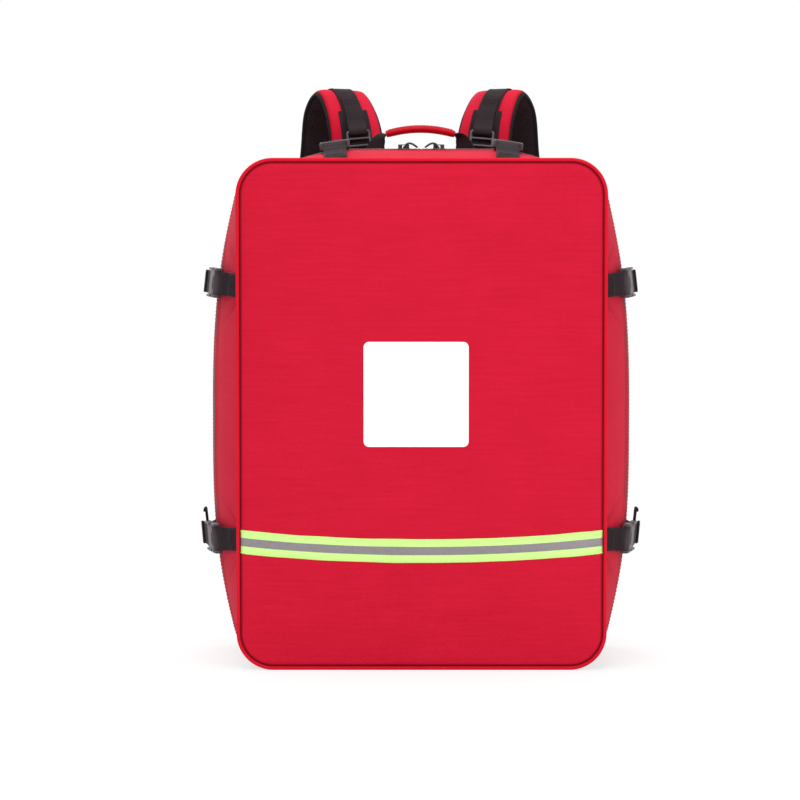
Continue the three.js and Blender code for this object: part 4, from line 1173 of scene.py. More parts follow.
def sliderMesh():
    # wide shoulders towards the middle, narrow throat behind them; x points away from the middle
    wide, throat = sliderSet["width"] / 2, 3.5
    plan = [(-7, 1.6), (-6.4, 3.6), (-5, 5.0), (-3, wide), (-0.5, 5.2), (2, throat + 0.6), (5.6, throat),
            (6.8, throat - 0.8),
            (7, throat - 2)]
    plan = plan + [(x, -y) for x, y in plan][::-1]
    parts = []
    for sign in (-1, 1):
        z = sign * (sliderSet["room"] + sliderSet["wing"] / 2)
        parts.append(plated("sliderWing", [plan], sliderSet["wing"], 0.55, raised(z)))
        rail = [(-1.2, 4.9), (2, throat + 0.5), (5.8, throat - 0.1), (5.8, throat - 1.0), (2, throat - 0.5),
                (-1.2, 4.0)]
        rail = [(x, sign * y) for x, y in rail][::sign]
        for end in (-1, 1):
            parts.append(plated("sliderRail", [rail], 1.5, 0.25, raised(end * 1.75)))
    parts.append(plated("sliderPost", [roundedOutline(4, 1.6, 0.7, (-4.6, 0))], 5.2, 0.2))
    top = sliderSet["room"] + sliderSet["wing"]
    # a bridge whose two feet leave room for the ring's wire between them
    long, broad, roof = sliderSet["bridgeLong"], sliderSet["bridgeWide"], sliderSet["roof"]
    footLong = long / 2 - sliderSet["wire"] - sliderSet["wireRoom"]
    for end in (-1, 1):
        foot = raised(top + sliderSet["bridge"] / 2 - 0.3)
        shape = roundedOutline(footLong, broad, 1.2, (end * (long - footLong) / 2, 0))
        parts.append(plated("sliderFoot", [shape], sliderSet["bridge"], 0.5, foot))
    above = raised(top + sliderSet["bridge"] - 0.3 - roof / 2)
    parts.append(plated("sliderRoof", [roundedOutline(long - 1, broad, 1.2)], roof, 0.5, above))
    return joinMeshes("zipSlider", parts)


sliderShape = sliderMesh()
tilt = math.radians(sliderSet["tilt"])
for side, label in ((-1, "left"), (1, "right")):
    axisY = np.array([0, math.cos(tilt), math.sin(tilt)])
    axisZ = np.array([0, -math.sin(tilt), math.cos(tilt)])
    origin = np.array([side * sliderSet["apart"] / 2, *sliderSet["at"]])
    place = basisMatrix((side, 0, 0), axisY, axisZ, origin)
    rides(placed("zipSlider" + label.capitalize(), sliderShape, place, "sliderMetal"),
          "slider_" + label, "zip_slider_" + label)
    # a bent wire ring, its near side under the bridge
    low = sliderSet["room"] + sliderSet["wing"] + sliderSet["wire"] + sliderSet["wireClear"]
    wide, far = sliderSet["pullWide"] / 2 - 0.8, sliderSet["pullLong"] - 1.2
    corners = [(0, -wide + 1.2), (0, wide - 1.2), (0.6, wide), (0.3 * far, wide), (0.7 * far, wide + 0.4),
               (far - 1.5, wide - 0.6),
               (far, 0), (far - 1.5, -wide + 0.6), (0.7 * far, -wide - 0.4), (0.3 * far, -wide), (0.6, -wide)]
    ring = smoothLine(corners, 3, closed=True)
    rise = sliderSet["rise"] * np.sin(np.pi * np.clip(ring[:, 0] / far, 0, 1) ** 0.8) * smooth(0.2, 3,
                                                                                               ring[:, 0])
    line = origin + ring[:, :1] * np.array([-side, 0, 0]) + ring[:, 1:] * axisY + (low + rise)[:,
                                                                                               None] * axisZ
    made = tube("zipPull" + label.capitalize(), line, sliderSet["wire"], "ringPlastic", 10, closed=True)
    rides(made, "pull_" + label, "zip_pull_" + label)

# grab handle
print("handle")
handle = {"span": 120, "rise": 30, "y": rearY - 24, "clear": 2.6, "drop": 0.46, "thick": 2.2, "wide": 13,
          "foot": 19,
          "footAt": 55, "twist": 78, "grip": 38.6, "gripWide": 17, "gripTall": 8.6,
          "slit": (15, 17, 11, 1.4), "slitStitch": 3.9, "gripStitch": 4.2}
handleBase = float(topPoint(handle["span"] / 2, handle["y"])[2]) + handle["clear"]


def handleCurve(x):
    return handleBase + handle["rise"] * (1 - handle["drop"] * (2 * x / handle["span"]) ** 2)


def topLine(x):
    return topZ + body["topBulge"] * float(depthShare(handle["y"])) * topShare(x)


footZAt = topLine(handle["footAt"])
halfLine = [(handle["footAt"] + 0.6, footZAt - 3.5), (handle["footAt"], footZAt + 1.5),
            (handle["footAt"] - 1.4, footZAt + 6), (50, footZAt + 13.5), (44, handleCurve(44) - 0.4)]
middle = [(x, handleCurve(x)) for x in np.linspace(38, -38, 15)]
handleLine = np.array(halfLine + middle + [(-x, z) for x, z in halfLine][::-1])
fine, = resample(smoothLine(handleLine), 1.6)
heading = unit(np.gradient(fine, axis=0))
centre = np.column_stack([fine[:, 0], np.full(len(fine), handle["y"]), fine[:, 1]])
rising = np.column_stack([-heading[:, 1], np.zeros(len(fine)), heading[:, 0]])
away = np.abs(fine[:, 0])
# the webbing lies flat through the grip and turns to face the front where it is sewn in
turned = np.radians(handle["twist"]) * smooth(37, 49, away) * np.sign(fine[:, 0])
across = np.array([0.0, 1, 0]) * np.cos(turned)[:, None] + rising * np.sin(turned)[:, None]
outward = np.cross(across, np.column_stack([heading[:, 0], np.zeros(len(fine)), heading[:, 1]]))
widths = handle["wide"] + (handle["foot"] - handle["wide"]) * smooth(38, 54, away)
handleWebbing = sweptStrip("handleWebbing", centre, across, outward, widths, handle["thick"], "blackWebbing")
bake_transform(handleWebbing)
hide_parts("handle_webbing")
for side, label in ((-1, "Left"), (1, "Right")):
    # a bound slit in the gusset takes the webbing's end
    inward, outwardBy, slitWide, slitThick = handle["slit"]
    xs = np.linspace(handle["footAt"] - inward, handle["footAt"] + outwardBy, 20)
    line = np.column_stack([side * xs, np.full(20, handle["y"]), topLine(xs) + 0.8])
    slope = unit(np.column_stack([np.gradient(line[:, 0]), np.zeros(20), np.gradient(line[:, 2])]))
    normal = np.column_stack([-slope[:, 2], np.zeros(20), slope[:, 0]])
    normal = normal * np.sign(normal[:, 2:])
    rides(sweptStrip("handleSlit" + label, line, np.broadcast_to([0.0, 1, 0], line.shape), normal, slitWide,
                     slitThick, "binding"), "pack")
    rows = [(line + normal * 0.75 + np.array([0, d, 0]), normal) for d in (-handle["slitStitch"],
                                                                           handle["slitStitch"])]
    rides(stitchRows("handleStitching" + label, rows, "blackThread", 3.0), "pack")

gripX = np.linspace(-handle["grip"], handle["grip"], 60)
gripZ = handleCurve(gripX)
gripHeading = unit(np.stack([np.ones_like(gripX), np.gradient(gripZ, gripX)], -1))
angles = np.linspace(0, 2 * np.pi, 28, endpoint=False)
ends = np.sqrt(np.clip(1 - (np.abs(gripX) / (handle["grip"] + 0.8)) ** 14, 0, 1))
rings, cloth = [], []
for x, z, (hx, hz), end in zip(gripX, gripZ, gripHeading, ends):
    ring = []
    for a in angles:
        # a flat oval, pinched along the seam underneath
        y = handle["gripWide"] / 2 * math.cos(a)
        t = handle["gripTall"] / 2 * math.sin(a) * (1 - 0.12 * math.cos(a) ** 2)
        t += 0.9 * math.exp(-(y / 1.6) ** 2) * (math.sin(a) < 0)
        puff = 1 + 0.02 * math.sin(x / 2.1) * (0.5 + 0.5 * math.sin(a))
        y, t = y * (0.72 + 0.28 * end) * puff, t * (0.6 + 0.4 * end) * puff
        ring.append((x - hz * t, handle["y"] + y, z + hx * t))
    rings.append(ring)
handleGrip = sweep("handleGrip", np.array(rings), "redGrip")
rides(handleGrip, "grab_handle", "handle_grip")
topRow = np.column_stack([gripX, np.full(60, handle["y"]), gripZ + handle["gripTall"] / 2 + 0.1])[3:-3]
rows = [(topRow + [0, d, -abs(d) * 0.06], (0, 0, 1)) for d in (-handle["gripStitch"], handle["gripStitch"])]
rides(stitchRows("gripStitching", rows, "redThread", 3.4), "grab_handle")

# shoulder straps
print("shoulder straps")
shoulder = {
    "width": 60, "thick": 12, "turn": 27, "rootDrop": 14,
    "route": [(70, 6.5, 0), (71, 15, 35), (79, 30, 77), (92, 54, 101), (105, 81, 85), (111, 100, 35),
              (117, 106, -35), (128, 100, -107), (141, 86, -177), (152, 64, -242)],
    "edge": 3.0, "binding": 2.1, "webbingFrom": 0.115, "patchWide": 35, "patchTo": 0.167, "tackEvery": 88,
    "lifterWide": 21, "lifterFrom": 0.2, "lifterTo": 0.078, "ringAt": 0.09, "lifterOff": 6,
    "lifterThick": 1.3, "loopThick": 1.4, "ring": (28, 20, 4, 3.0), "lock": (34, 28, 5, 4), "lockClear": 1.6,
    "anchor": (28, 44, 5), "bend": (5, 24),
    "tip": 22, "tipPower": 2.6, "tipCut": 0.72, "crownPower": 4.6, "wrinkleAt": 0.27, "wrinkleWide": 0.12,
    "pressed": 0.9, "waves": (0.5, 26), "bindingIn": 0.9, "bindingWide": 2.0,
}
rootY = backHigh[1]
rootZ = topZ - shoulder["rootDrop"]


def shoulderCurve():
    # centripetal Catmull-Rom through the route, as evenly spaced points
    knots = np.array([(out, rootY + behind, rootZ + above) for out, behind, above in shoulder["route"]])
    knots = np.concatenate([[2 * knots[0] - knots[1]], knots, [2 * knots[-1] - knots[-2]]])
    points = []
    for p0, p1, p2, p3 in zip(knots, knots[1:], knots[2:], knots[3:]):
        d0, d1, d2 = (np.linalg.norm(b - a) ** 0.5 for a, b in ((p0, p1), (p1, p2), (p2, p3)))
        m1 = ((p1 - p0) / d0 - (p2 - p0) / (d0 + d1) + (p2 - p1) / d1) * d1
        m2 = ((p2 - p1) / d1 - (p3 - p1) / (d1 + d2) + (p3 - p2) / d2) * d1
        for s in np.linspace(0, 1, 40, endpoint=False):
            points.append((2 * s ** 3 - 3 * s ** 2 + 1) * p1 + (s ** 3 - 2 * s ** 2 + s) * m1 +
                          (3 * s ** 2 - 2 * s ** 3) * p2 + (s ** 3 - s ** 2) * m2)
    points.append(knots[-2])
    return resample(np.array(points), 1.0)[0]


strapCurve = shoulderCurve()
strapRun = lengthsAlong(strapCurve)
strapLength = strapRun[-1]


def strapAt(run):
    return np.column_stack([np.interp(run, strapRun, column) for column in strapCurve.T])


def strapStations(shares, side, offset=0.0):
    # centre, across and outward along one strap; offset is a distance outward
    shares = np.asarray(shares, float)
    at = shares * strapLength
    centre = strapAt(at)
    along = unit(strapAt(np.minimum(at + 2, strapLength)) - strapAt(np.maximum(at - 2, 0)))
    turn = np.radians(shoulder["turn"]) * smooth(0, 0.25, shares) * (1 - smooth(0.35, 1, shares))
    across = np.stack([np.cos(turn), -np.sin(turn), np.zeros_like(turn)], -1)
    across = unit(across - along * (across * along).sum(1, keepdims=True))
    outward = np.cross(across, along)
    centre = centre + outward * np.broadcast_to(offset, shares.shape)[:, None]
    mirror = np.array([side, 1, 1])
    return centre * mirror, across * mirror * side, outward * mirror, along * mirror


def barredFrame(name, size, centre, across, along, facing, rider, node, finish="blackPlastic"):
    # a moulded frame with a bar across its middle
    width, tall, thick, bar = size
    slot = (tall - 3 * bar) / 2
    holes = [roundedOutline(width - 2 * bar, slot, 0.9, (0, sign * (bar + slot) / 2)) for sign in (-1, 1)]
    mesh = shaded(plated(name, [roundedOutline(width, tall, 3)] + holes, thick, 1.1), 35)
    made = placed(name, mesh, basisMatrix(across, along, facing, centre), finish)
    return rides(made, rider, node)


def bendsWithStrap(made, label, *nodes):
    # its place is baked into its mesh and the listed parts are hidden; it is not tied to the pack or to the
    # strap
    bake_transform(made)
    if nodes:
        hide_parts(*nodes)
    return made


def padSection(top):
    # half of the pad's section: crowned cloth over a flat middle plane
    x = np.linspace(-1, 1, 27)
    rise = np.sqrt(np.clip(1 - np.abs(x) ** shoulder["crownPower"], 0, 1))
    crown = shoulder["edge"] + (shoulder["thick"] / 2 - shoulder["edge"]) * rise
    return x, crown if top else -crown


for side, label in ((-1, "left"), (1, "right")):
    Label = label.capitalize()
    strapBody = "shoulder_strap_" + label
    shares = np.linspace(0, 1, 190)
    centre, across, outward, along = strapStations(shares, side)
    run = shares * strapLength
    tipRun = np.clip(run - (strapLength - shoulder["tip"]), 0, shoulder["tip"]) / shoulder["tip"]
    tip = np.sqrt(np.clip(1 - tipRun ** shoulder["tipPower"] * shoulder["tipCut"], 0, 1))
    halfWide = shoulder["width"] / 2 * tip
    bend = np.exp(-((shares - shoulder["wrinkleAt"]) / shoulder["wrinkleWide"]) ** 2)
    for part, top, finish in (("shoulderPad", True, "redFabric"), ("shoulderPadLining", False, "blackMesh")):
        x, crown = padSection(top)
        xs = x[None, :] * (halfWide - 1.2)[:, None]
        lift = np.broadcast_to(crown, xs.shape) * (0.55 + 0.45 * tip)[:, None]
        if top:
            # pressed in under the webbing, and soft waves elsewhere
            pressed = shoulder["pressed"] * smooth(17, 11, np.abs(xs)) * smooth(0.08, 0.14, shares)[:, None]
            waveHigh, waveSize = shoulder["waves"]
            spots = np.concatenate([clothGrid(xs, run), xs[..., None] * 0 + side], -1)
            waves = waveHigh * lumps(spots, waveSize, 11)
            lift = lift - pressed + waves * smooth(1, 0.75, np.abs(x))[None, :]
        else:
            wrinkle = np.sin(run / 4.6 + 1.4 * np.sin(run / 23))[:, None] * bend[:, None]
            lift = lift + (0.9 * wrinkle + 0.35) * smooth(1, 0.8, np.abs(x))[None, :]
        flat = np.full_like(lift, 0.12 if top else -0.12)
        rows = centre[:, None] + across[:, None] * xs[..., None]
        cloth = clothGrid(xs, run)
        # the pad's edges are darkened with painted shade
        paintedShade = np.broadcast_to(smooth(0.9, 1.0, np.abs(x))[None, :] * 0.7, xs.shape)
        made = thickSheet(part + Label, rows + outward[:, None] * lift[..., None],
                          rows + outward[:, None] * flat[..., None], finish, cloth, paintedShade)
        bendsWithStrap(made, label, *(["shoulder_pad_" + label] if top else []))
    # binding tape round the edge, folded over both faces
    toEdge = across * (halfWide - shoulder["bindingIn"])[:, None]
    edgeLine = np.concatenate([centre + toEdge, (centre - toEdge)[::-1]])
    edgeOut = np.concatenate([outward, outward[::-1]])
    line, out = resample(edgeLine, 3.0, edgeOut)
    out = unit(out)
    heading = unit(np.gradient(line, axis=0))
    sideways = np.cross(heading, out)
    angles = np.linspace(0, 2 * np.pi, 14, endpoint=False)
    rings = line[:, None] + shoulder["bindingWide"] * sideways[:, None] * np.cos(angles)[None, :, None] + \
        shoulder["binding"] * out[:, None] * np.sin(angles)[None, :, None]
    cloth = clothGrid(angles * 2.2, lengthsAlong(line))
    bendsWithStrap(sweep("shoulderBinding" + Label, rings, "binding", cloth), label)

    onPad = shoulder["thick"] / 2 + 0.55
    first = shoulder["webbingFrom"]
    shares = np.linspace(first, 0.992, 170)
    centre, across, outward, along = strapStations(shares, side, onPad)
    made = sweptStrip("shoulderWebbing" + Label, centre, across, outward, strap["width"], strap["thick"],
                      "blackWebbing", edge=1.05)
    bendsWithStrap(made, label, "shoulder_webbing_" + label)
    rows = [(centre[::3] + across[::3] * s * 10.6 + outward[::3] * 0.78, outward[::3]) for s in (-1, 1)]
    for d in np.arange(60, strapLength - 30, shoulder["tackEvery"]):
        for extra in (0, 2.2, 4.4):
            c, a, o, _ = strapStations([(d + extra) / strapLength], side, onPad + 0.8)
            if (d + extra) / strapLength > first:
                rows.append((np.array([c[0] - a[0] * 10, c[0] + a[0] * 10]), o[0]))
    bendsWithStrap(stitchRows("shoulderStitching" + Label, rows, "blackThread", 3.6), label)

    # reinforcing patch under the load lifter
    shares = np.linspace(0.02, shoulder["patchTo"], 30)
    centre, across, outward, along = strapStations(shares, side, shoulder["thick"] / 2 + 0.35)
    bendsWithStrap(sweptStrip("shoulderPatch" + Label, centre, across, outward, shoulder["patchWide"], 1.0,
                              "blackWebbing"), label)
    rows = [(centre[:-1] + across[:-1] * s * (shoulder["patchWide"] / 2 - 1.6) + outward[:-1] * 0.55,
             outward[:-1])
            for s in (-1, 1)]
    bendsWithStrap(stitchRows("shoulderPatchStitching" + Label, rows, "blackThread", 3.0), label)

    # load lifter and its ring
    share = np.linspace(0, 1, 44)
    shares = shoulder["lifterFrom"] + (shoulder["lifterTo"] - shoulder["lifterFrom"]) * share
    lifterBase = onPad + 0.75 + 0.7 + 0.55
    offsets = lifterBase + shoulder["lifterOff"] * share ** 2
    centre, across, outward, along = strapStations(shares, side, offsets)
    heading = unit(np.gradient(centre, axis=0))
    facing = unit(np.cross(heading, across))
    facing = facing * np.sign((facing * outward).sum(1))[:, None]
    made = sweptStrip("lifterWebbing" + Label, centre, across, facing, shoulder["lifterWide"],
                      shoulder["lifterThick"], "blackWebbing", edge=1.08)
    rides(made, strapBody, "lifter_webbing_" + label)
    rows = [(np.array([centre[k] - across[k] * 8 + facing[k] * 0.7,
                       centre[k] + across[k] * 8 + facing[k] * 0.7]), facing[k])
            for k in (2, 4, 6)]
    rides(stitchRows("lifterStitching" + Label, rows, "blackThread", 2.4), strapBody)
    c, a, o, l = strapStations([shoulder["ringAt"]], side,
                               onPad + 0.8 + 0.3 + 0.7 + 0.6 + shoulder["lifterOff"] + 0.7 + 0.3 + 2)
    barredFrame("lifterRing" + Label, shoulder["ring"], c[0], a[0], l[0], o[0], strapBody,
                "lifter_buckle_" + label, "ringPlastic")

    # the lifter's webbing goes over the ring's upper bar and back behind it
    loopPath = [(24, -4.2), (17, -1.6), (12, 2.3), (8.5, 3.2), (5.4, 2.7), (4.2, 0), (5.0, -2.2)]
    made, _, _ = ribbonAt("lifterLoop" + Label, loopPath, (c[0], l[0], o[0], a[0]), shoulder["lifterWide"],
                          shoulder["lifterThick"], 1.5, 1.0)
    rides(made, strapBody)

    # adjuster at the pad's end, the pad's webbing looped round its upper bar, and the tail to the base
    wide, tall, thick, bar = shoulder["lock"]
    c, a, o, l = strapStations([1.0], side)
    lockCentre = c[0] + l[0] * (tall / 2 + shoulder["lockClear"])
    barredFrame("strapAdjuster" + Label, shoulder["lock"], lockCentre, a[0], l[0], o[0], strapBody,
                "strap_adjuster_" + label)
    upperBar = lockCentre - l[0] * (tall / 2 - bar / 2)
    ringPath = [(-26, 4.4), (-16, 4.2), (-8, 4.4), (-2, 3.9), (1.6, 3.6), (3.6, 1.4), (3.6, -1.4),
                (1.4, -3.6), (-3, -3.6), (-12, -3.6)]
    made, _, _ = ribbonAt("adjusterLoop" + Label, ringPath, (upperBar, l[0], o[0], a[0]), strap["width"],
                          shoulder["loopThick"], 1.5, 1.0)
    rides(made, strapBody)

    inset, low, clear = shoulder["anchor"]
    end = np.array([side * (halfWidth - inset), rootY + clear + 1.6, low])
    start = lockCentre + o[0] * (thick / 2 + 0.3 + 0.8 + 0.6)
    down = unit(end - start)
    tailAcross = unit(np.array([1.0, 0, 0]) * side - down * (down[0] * side)) * side
    facing = np.cross(tailAcross, down)
    facing = facing if facing[1] > 0 else -facing
    length = np.linalg.norm(end - start)
    path = [(-tall * 0.72, 0.6), (-tall * 0.45, 0.9), (-tall * 0.2, 0.3), (0, -0.1), (tall * 0.3, 0.2),
            (tall * 0.55, 0.2),
            (length * 0.45, 0.4), (length * 0.8, 0.1), (length - 6, 0), (length, 0)]
    fine, = resample(smoothLine(path), 2.4)
    heading = unit(np.gradient(fine, axis=0))
    middle = start + fine[:, :1] * down + fine[:, 1:] * facing
    out = -heading[:, 1:] * down + heading[:, :1] * facing
    twist = 0.10 * np.sin(np.pi * np.clip(fine[:, 0] / length, 0, 1))[:, None]
    bent = unit(tailAcross + facing * twist)
    out = unit(out - bent * (out * bent).sum(1, keepdims=True))
    made = sweptStrip("shoulderTail" + Label, middle, bent, out, strap["width"], strap["thick"],
                      "blackWebbing", edge=1.05)
    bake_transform(made)
    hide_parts("shoulder_tail_" + label)

# the tails' anchors: doubled cloth wings sewn into the corners of the back seam, the webbing's end between
anchorWing = {"from": -6, "turn": -76, "radius": 33.5, "tipWide": 29, "tipUp": 7, "thick": 3.4}
for side, label in ((-1, "Left"), (1, "Right")):
    inset, low, clear = shoulder["anchor"]
    share = np.linspace(0, 1, 12)
    angle = np.radians(anchorWing["from"] + anchorWing["turn"] * share)
    seam = np.column_stack([halfWidth - body["corner"] + anchorWing["radius"] * np.cos(angle),
                            np.full(12, rootY + 1.0),
                            footZ + body["corner"] + anchorWing["radius"] * np.sin(angle)])
    tipX = halfWidth - inset + anchorWing["tipWide"] * (0.5 - share)
    tip = np.column_stack([tipX, np.full(12, rootY + clear + 1.6), np.full(12, low + anchorWing["tipUp"])])
    s = np.linspace(0, 1, 16)[:, None, None]
    rows = (seam * (1 - s) + tip * s) * [side, 1, 1]
    half = anchorWing["thick"] / 2 * (0.35 + 0.65 * smooth(0, 0.5, s)) * smooth(-0.1, 0.25,
                                                                                np.minimum(share,
                                                                                           1 - share))[:,
                                                                                                       None]
    puff = half * np.array([0.0, 1, 0])
    rides(thickSheet("tailAnchor" + label, rows + puff, rows - puff, "redFabric", rows[..., [0, 2]]), "pack")
    back = np.array([0.0, 1, 0])
    middle = (tip.mean(0) * [side, 1, 1]) + back * (anchorWing["thick"] / 2) - np.array([0, 0.9, 8.5])
    lines = boxStitch(middle, np.array([0.0, -0.12, 1]), np.array([1.0, 0, 0]), back, 11, 18)
    rides(stitchRows("tailAnchorStitching" + label, lines, "redThread", 2.8), "pack")

# pads on the back, blown up a little as sewn foam is
print("back pads")
padSet = {
    "corner": 24, "inset": 7, "voxel": 5.0, "channels": 3, "groove": 2.6, "grooveDeep": 0.55, "over": 1.5,
    "binding": 1.7,
    # how thick the pad is at each share of the way out from its middle
    "shares": (1.0, 0.985, 0.95, 0.86, 0.7, 0.5, 0.3, 0.12),
    "thick": (0.1, 0.42, 0.66, 0.84, 0.94, 0.98, 1.0, 1.0),
    "pressure": 4.0, "quality": 6, "tension": 12, "bending": 2, "cap": 6.0, "steps": 20,
}


def softPad(name, node, channelsUp):
    low, high, size, middle = nodeSpan(node)
    corner, inset, base = padSet["corner"], padSet["inset"], low[1] + 0.6
    shape = np.array(roundedOutline(size[0] - inset, size[2] - inset, corner - 3, (middle[0], middle[2]), 9))
    hub = np.array([middle[0], middle[2]])
    flat = [(share, 0.0) for share in padSet["shares"][::-1]]
    rings = []
    for share, rise in flat + list(zip(padSet["shares"], padSet["thick"])):
        x, z = (hub + (shape - hub) * share).T
        rings.append(np.column_stack([x, np.full(len(shape), base + (size[1] - 3.5) * rise), z]))
    made = sweep(name, np.array(rings), "blackMesh")
    bpy.context.view_layer.objects.active = made
    remesh = made.modifiers.new("remesh", "REMESH")
    remesh.mode = "VOXEL"
    remesh.voxel_size = padSet["voxel"] * mm
    bpy.ops.object.modifier_apply(modifier=remesh.name)
    before = np.array([v.co for v in made.data.vertices])
    held = made.vertex_groups.new(name="held")
    held.add([v.index for v in made.data.vertices if v.co.y < (low[1] + 2.2) * mm], 1.0, "ADD")
    cloth = made.modifiers.new("cloth", "CLOTH")
    cloth.settings.quality = padSet["quality"]
    cloth.settings.use_pressure = True
    cloth.settings.uniform_pressure_force = padSet["pressure"]
    cloth.settings.effector_weights.gravity = 0
    cloth.settings.vertex_group_mass = held.name
    cloth.settings.tension_stiffness = padSet["tension"]
    cloth.settings.bending_stiffness = padSet["bending"]
    for step in range(1, padSet["steps"] + 1):
        bpy.context.scene.frame_set(step)
    after = made.evaluated_get(bpy.context.evaluated_depsgraph_get()).data
    moved = np.array([v.co for v in after.vertices]) - before
    reach = np.linalg.norm(moved, axis=1, keepdims=True)
    moved *= np.minimum(1, padSet["cap"] * mm / np.maximum(reach, 1e-9))
    made.modifiers.remove(cloth)
    made.data.vertices.foreach_set("co", (before + moved).astype(np.float32).ravel())
    bpy.context.scene.frame_set(1)
    smoothing = made.modifiers.new("subdivide", "SUBSURF")
    smoothing.levels = smoothing.render_levels = 1
    bpy.ops.object.modifier_apply(modifier=smoothing.name)
    places = np.array([v.co for v in made.data.vertices]) / mm
    # keep to the pad's own box, then sew the channels in
    over = padSet["over"]
    places = np.clip(places, low - [over, 0, over], high + over)
    # the sewn channels are also darkened with painted shade
    paintedShade = np.zeros(len(places))
    for k in range(1, padSet["channels"] + 1):
        at = k / (padSet["channels"] + 1)
        stacked, level = (2, 0) if channelsUp else (0, 2)
        off = places[:, stacked] - (low[stacked] + size[stacked] * at)
        away = places[:, level] - middle[level]
        reach = size[level] / 2 - 10
        groove = np.exp(-(off / padSet["groove"]) ** 2) * smooth(reach + 4, reach - 8, np.abs(away))
        share = smooth(low[1] + 3, low[1] + 8, places[:, 1])
        places[:, 1] -= (size[1] - 6) * padSet["grooveDeep"] * groove * share
        paintedShade = np.maximum(paintedShade, groove * share * 0.9)
    made.data.vertices.foreach_set("co", (places * mm).astype(np.float32).ravel())
    made.data.update()
    made.data.polygons.foreach_set("use_smooth", [True] * len(made.data.polygons))
    for attribute in ("cloth", "paintedShade"):
        old = made.data.attributes.get(attribute)
        if old is not None:
            made.data.attributes.remove(old)
    setAttribute(made.data, "cloth", "FLOAT_VECTOR", np.column_stack([places[:, [0, 2]],
                                                                      np.zeros(len(places))]))
    setAttribute(made.data, "paintedShade", "FLOAT", paintedShade)
    rides(made, "pack", node)
    # binding where the pad is sewn to the back
    line = np.array(roundedOutline(size[0] - 3, size[2] - 3, corner, (middle[0], middle[2]), 12))
    line = np.column_stack([line[:, 0], np.full(len(line), low[1] + 1.3), line[:, 1]])
    rides(tube(name + "Binding", line, padSet["binding"], "binding", 10, closed=True), "pack")


softPad("backPadLeft", "back_pad_left", True)
softPad("backPadRight", "back_pad_right", True)
softPad("lumbarPad", "lumbar_pad", False)

# inside
print("inside")
for name, node in (("dividerLower", "divider_lower"), ("dividerUpper", "divider_upper")):
    low, high, size, middle = nodeSpan(node)
    xs = np.linspace(low[0] + 1, high[0] - 1, 60)
    ys = np.linspace(low[1] + 1, high[1] - 1, 26)
    gx, gy = np.meshgrid(xs, ys)
    rim = np.minimum(np.minimum(gx - low[0], high[0] - gx), np.minimum(gy - low[1], high[1] - gy))
    tall = size[2] / 2 * np.sqrt(np.clip(1 - (1 - np.clip(rim / 5, 0, 1)) ** 2, 0.08, 1))
    tall = tall * (1 - 0.14 * np.exp(-((np.mod(gx, 60) - 30) / 2.4) ** 2))
    upper = np.stack([gx, gy, middle[2] + tall], -1)
    lower = np.stack([gx, gy, middle[2] - tall], -1)
    made = thickSheet(name, upper, lower, "lining", np.stack([gx, gy], -1))
    rides(made, "pack", node)
    border = np.array([(x, y, middle[2]) for x, y in roundedOutline(size[0] - 1.5, size[1] - 1.5, 9,
                                                                    (middle[0], middle[1]), 8)])
    rides(tube(name + "Binding", border, 1.9, "binding", 10, closed=True), "pack")

low, high, size, middle = nodeSpan("frame_sheet")
sleeve = {"margin": 10, "thick": 0.6}
sheetMesh = plated("frameSheet", [roundedOutline(size[0], size[2], 30, (middle[0], middle[2]), 10)], size[1],
                   0.3,
                   basisMatrix((1, 0, 0), (0, 0, 1), (0, -1, 0), (0, middle[1], 0)))
rides(finishObject("frameSheet", sheetMesh, "sheetPlastic"), "pack", "frame_sheet")
gx, gz = np.meshgrid(np.linspace(low[0] - sleeve["margin"], high[0] + sleeve["margin"], 70),
                     np.linspace(low[2] - sleeve["margin"], high[2] + sleeve["margin"], 90))
fold = 0.35 * lumps(np.stack([gx, gx * 0, gz], -1), 46, 21)
sleeveFront = np.stack([gx, low[1] - 0.7 - sleeve["thick"] + fold * 0.4, gz], -1)
sleeveBack = np.stack([gx, np.full_like(gx, low[1] - 0.15), gz], -1)
rides(thickSheet("frameSleeve", sleeveFront, sleeveBack, "lining", np.stack([gx, gz], -1)), "pack")

low, high, size, middle = nodeSpan("lid_pocket")
gx, gz = np.meshgrid(np.linspace(low[0] + 2, high[0] - 2, 80), np.linspace(low[2] + 2, high[2] - 2, 62))
belly = smooth(0, 40, np.minimum(gx - low[0], high[0] - gx)) * smooth(high[2], high[2] - 60,
                                                                      gz) * smooth(low[2], low[2] + 30, gz)
bag = high[1] - 1.2 + 1.0 * belly * (1 + 0.5 * lumps(np.stack([gx, gx * 0, gz], -1), 40, 31))
pocketFront = np.stack([gx, bag, gz], -1)
pocketBack = np.stack([gx, bag - 1.0, gz], -1)
rides(thickSheet("lidPocket", pocketFront, pocketBack, "blackMesh", np.stack([gx, gz], -1)), "lid",
      "lid_pocket")
border = np.array([(x, high[1] - 1.4, z) for x, z in roundedOutline(size[0] - 4, size[2] - 4, 14,
                                                                    (middle[0], middle[2]), 8)])
rides(tube("lidPocketBinding", border, 2.0, "binding", 10, closed=True), "lid")

# the fold of cloth that the lid hangs by
xs = np.linspace(-halfWidth + body["corner"], halfWidth - body["corner"], 60)
ys = np.linspace(frontY + 7, frontY - 0.6, 12)
gx, gy = np.meshgrid(xs, ys)
gz = footZ - 0.9 + 1.6 * smooth(frontY + 7, frontY - 1, gy) - 2.6 * np.exp(-((gy - frontY - 3.4) / 2.6) ** 2)
upper = np.stack([gx, gy, gz + 0.5], -1)
lower = np.stack([gx, gy, gz - 0.5], -1)
hingeCloth = thickSheet("lidHingeCloth", upper, lower, "redFabric", np.stack([gx, gy], -1))
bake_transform(hingeCloth)

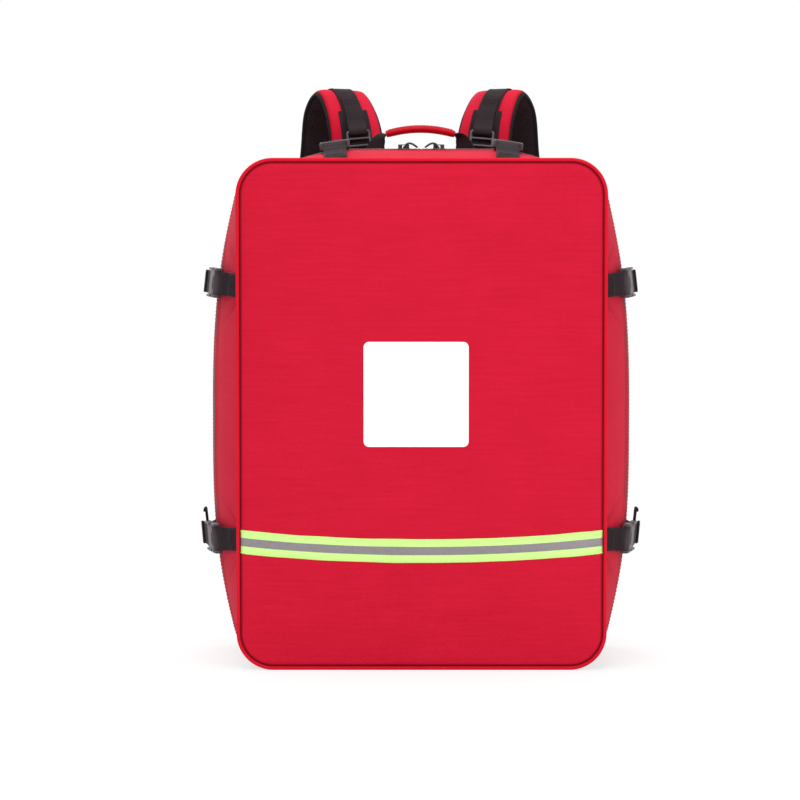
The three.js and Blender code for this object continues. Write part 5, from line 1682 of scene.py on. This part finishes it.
# floor, backdrop, lights and camera
print("studio")
studio = {
    "floor": 14.0, "floorShade": 0.3,    # metres, and how much of the floor's own light shows
    "shadeNear": 0.3, "shadeFar": 0.9,
    "keyPower": 73, "keySize": 2.6, "keyAt": (-0.5, -2.6, 3.1),
    "topPower": 38, "topSize": 1.6, "topAt": (0.1, 0.3, 2.9),
    "fillPower": 26, "fillSize": 2.2, "fillAt": (1.9, -2.2, 1.0),
    "backPower": 26, "backSize": 1.8, "backAt": (-1.5, 2.4, 1.9),
    "sky": 0.62, "aim": (0, 0, 0.3),
}
cameraSet = {"at": (-0.023, -3.0, 0.425), "tilt": 2.7, "lens": 123, "sensor": 36}

scene = bpy.context.scene
scene.view_settings.view_transform = "Standard"


def seenDirectly(tree):
    rays = addNode(tree, "LightPath")
    either = calc(tree, "MAXIMUM", rays.outputs["Is Camera Ray"], rays.outputs["Is Glossy Ray"])
    return calc(tree, "MAXIMUM", either, rays.outputs["Is Transmission Ray"])


def floorMaterial():
    material = bpy.data.materials.new("paleFloor")
    material.use_nodes = True
    tree = material.node_tree
    tree.nodes.clear()
    matte = addNode(tree, "BsdfDiffuse", {"Color": (0.9, 0.9, 0.9, 1)})
    glow = addNode(tree, "Emission", {"Color": (1, 1, 1, 1), "Strength": 1.0})
    # the shadow shows near the pack, and further off the floor is the backdrop's white
    place = addNode(tree, "NewGeometry").outputs["Position"]
    away = addNode(tree, "VectorMath", {0: place}, operation="LENGTH").outputs["Value"]
    fade = addNode(tree, "MapRange", {0: away, 1: studio["shadeNear"], 2: studio["shadeFar"],
                                      3: 1 - studio["floorShade"], 4: 1.0}).outputs[0]
    share = calc(tree, "MULTIPLY", seenDirectly(tree), fade)
    mixed = addNode(tree, "MixShader", {0: share, 1: matte.outputs[0], 2: glow.outputs[0]})
    addNode(tree, "OutputMaterial", {"Surface": mixed.outputs[0]})
    return material


half = studio["floor"] / 2
mesh = bpy.data.meshes.new("floor")
mesh.from_pydata([(-half, -half, 0), (half, -half, 0), (half, half, 0), (-half, half, 0)], [], [(0, 1, 2, 3)])
floor = bpy.data.objects.new("floor", mesh)
scene.collection.objects.link(floor)
mesh.materials.append(floorMaterial())

world = bpy.data.worlds.new("studioSky")
scene.world = world
world.use_nodes = True
tree = world.node_tree
sky = tree.nodes["Background"]
level = calc(tree, "MULTIPLY_ADD", seenDirectly(tree), 1 - studio["sky"], studio["sky"])
tree.links.new(level, sky.inputs["Strength"])
sky.inputs["Color"].default_value = (1, 1, 1, 1)

for name in ("key", "top", "fill", "back"):
    lamp = bpy.data.lights.new(name, "AREA")
    lamp.energy = studio[name + "Power"]
    lamp.size = studio[name + "Size"]
    holder = bpy.data.objects.new(name + "Light", lamp)
    holder.location = studio[name + "At"]
    aim = Vector(studio["aim"]) - holder.location
    holder.rotation_euler = aim.to_track_quat("-Z", "Y").to_euler()
    scene.collection.objects.link(holder)

lens = bpy.data.cameras.new("camera")
lens.lens = cameraSet["lens"]
lens.sensor_width = cameraSet["sensor"]
camera = bpy.data.objects.new("camera", lens)
camera.location = cameraSet["at"]
camera.rotation_euler = (math.radians(90 - cameraSet["tilt"]), 0, 0)
scene.collection.objects.link(camera)
scene.camera = camera
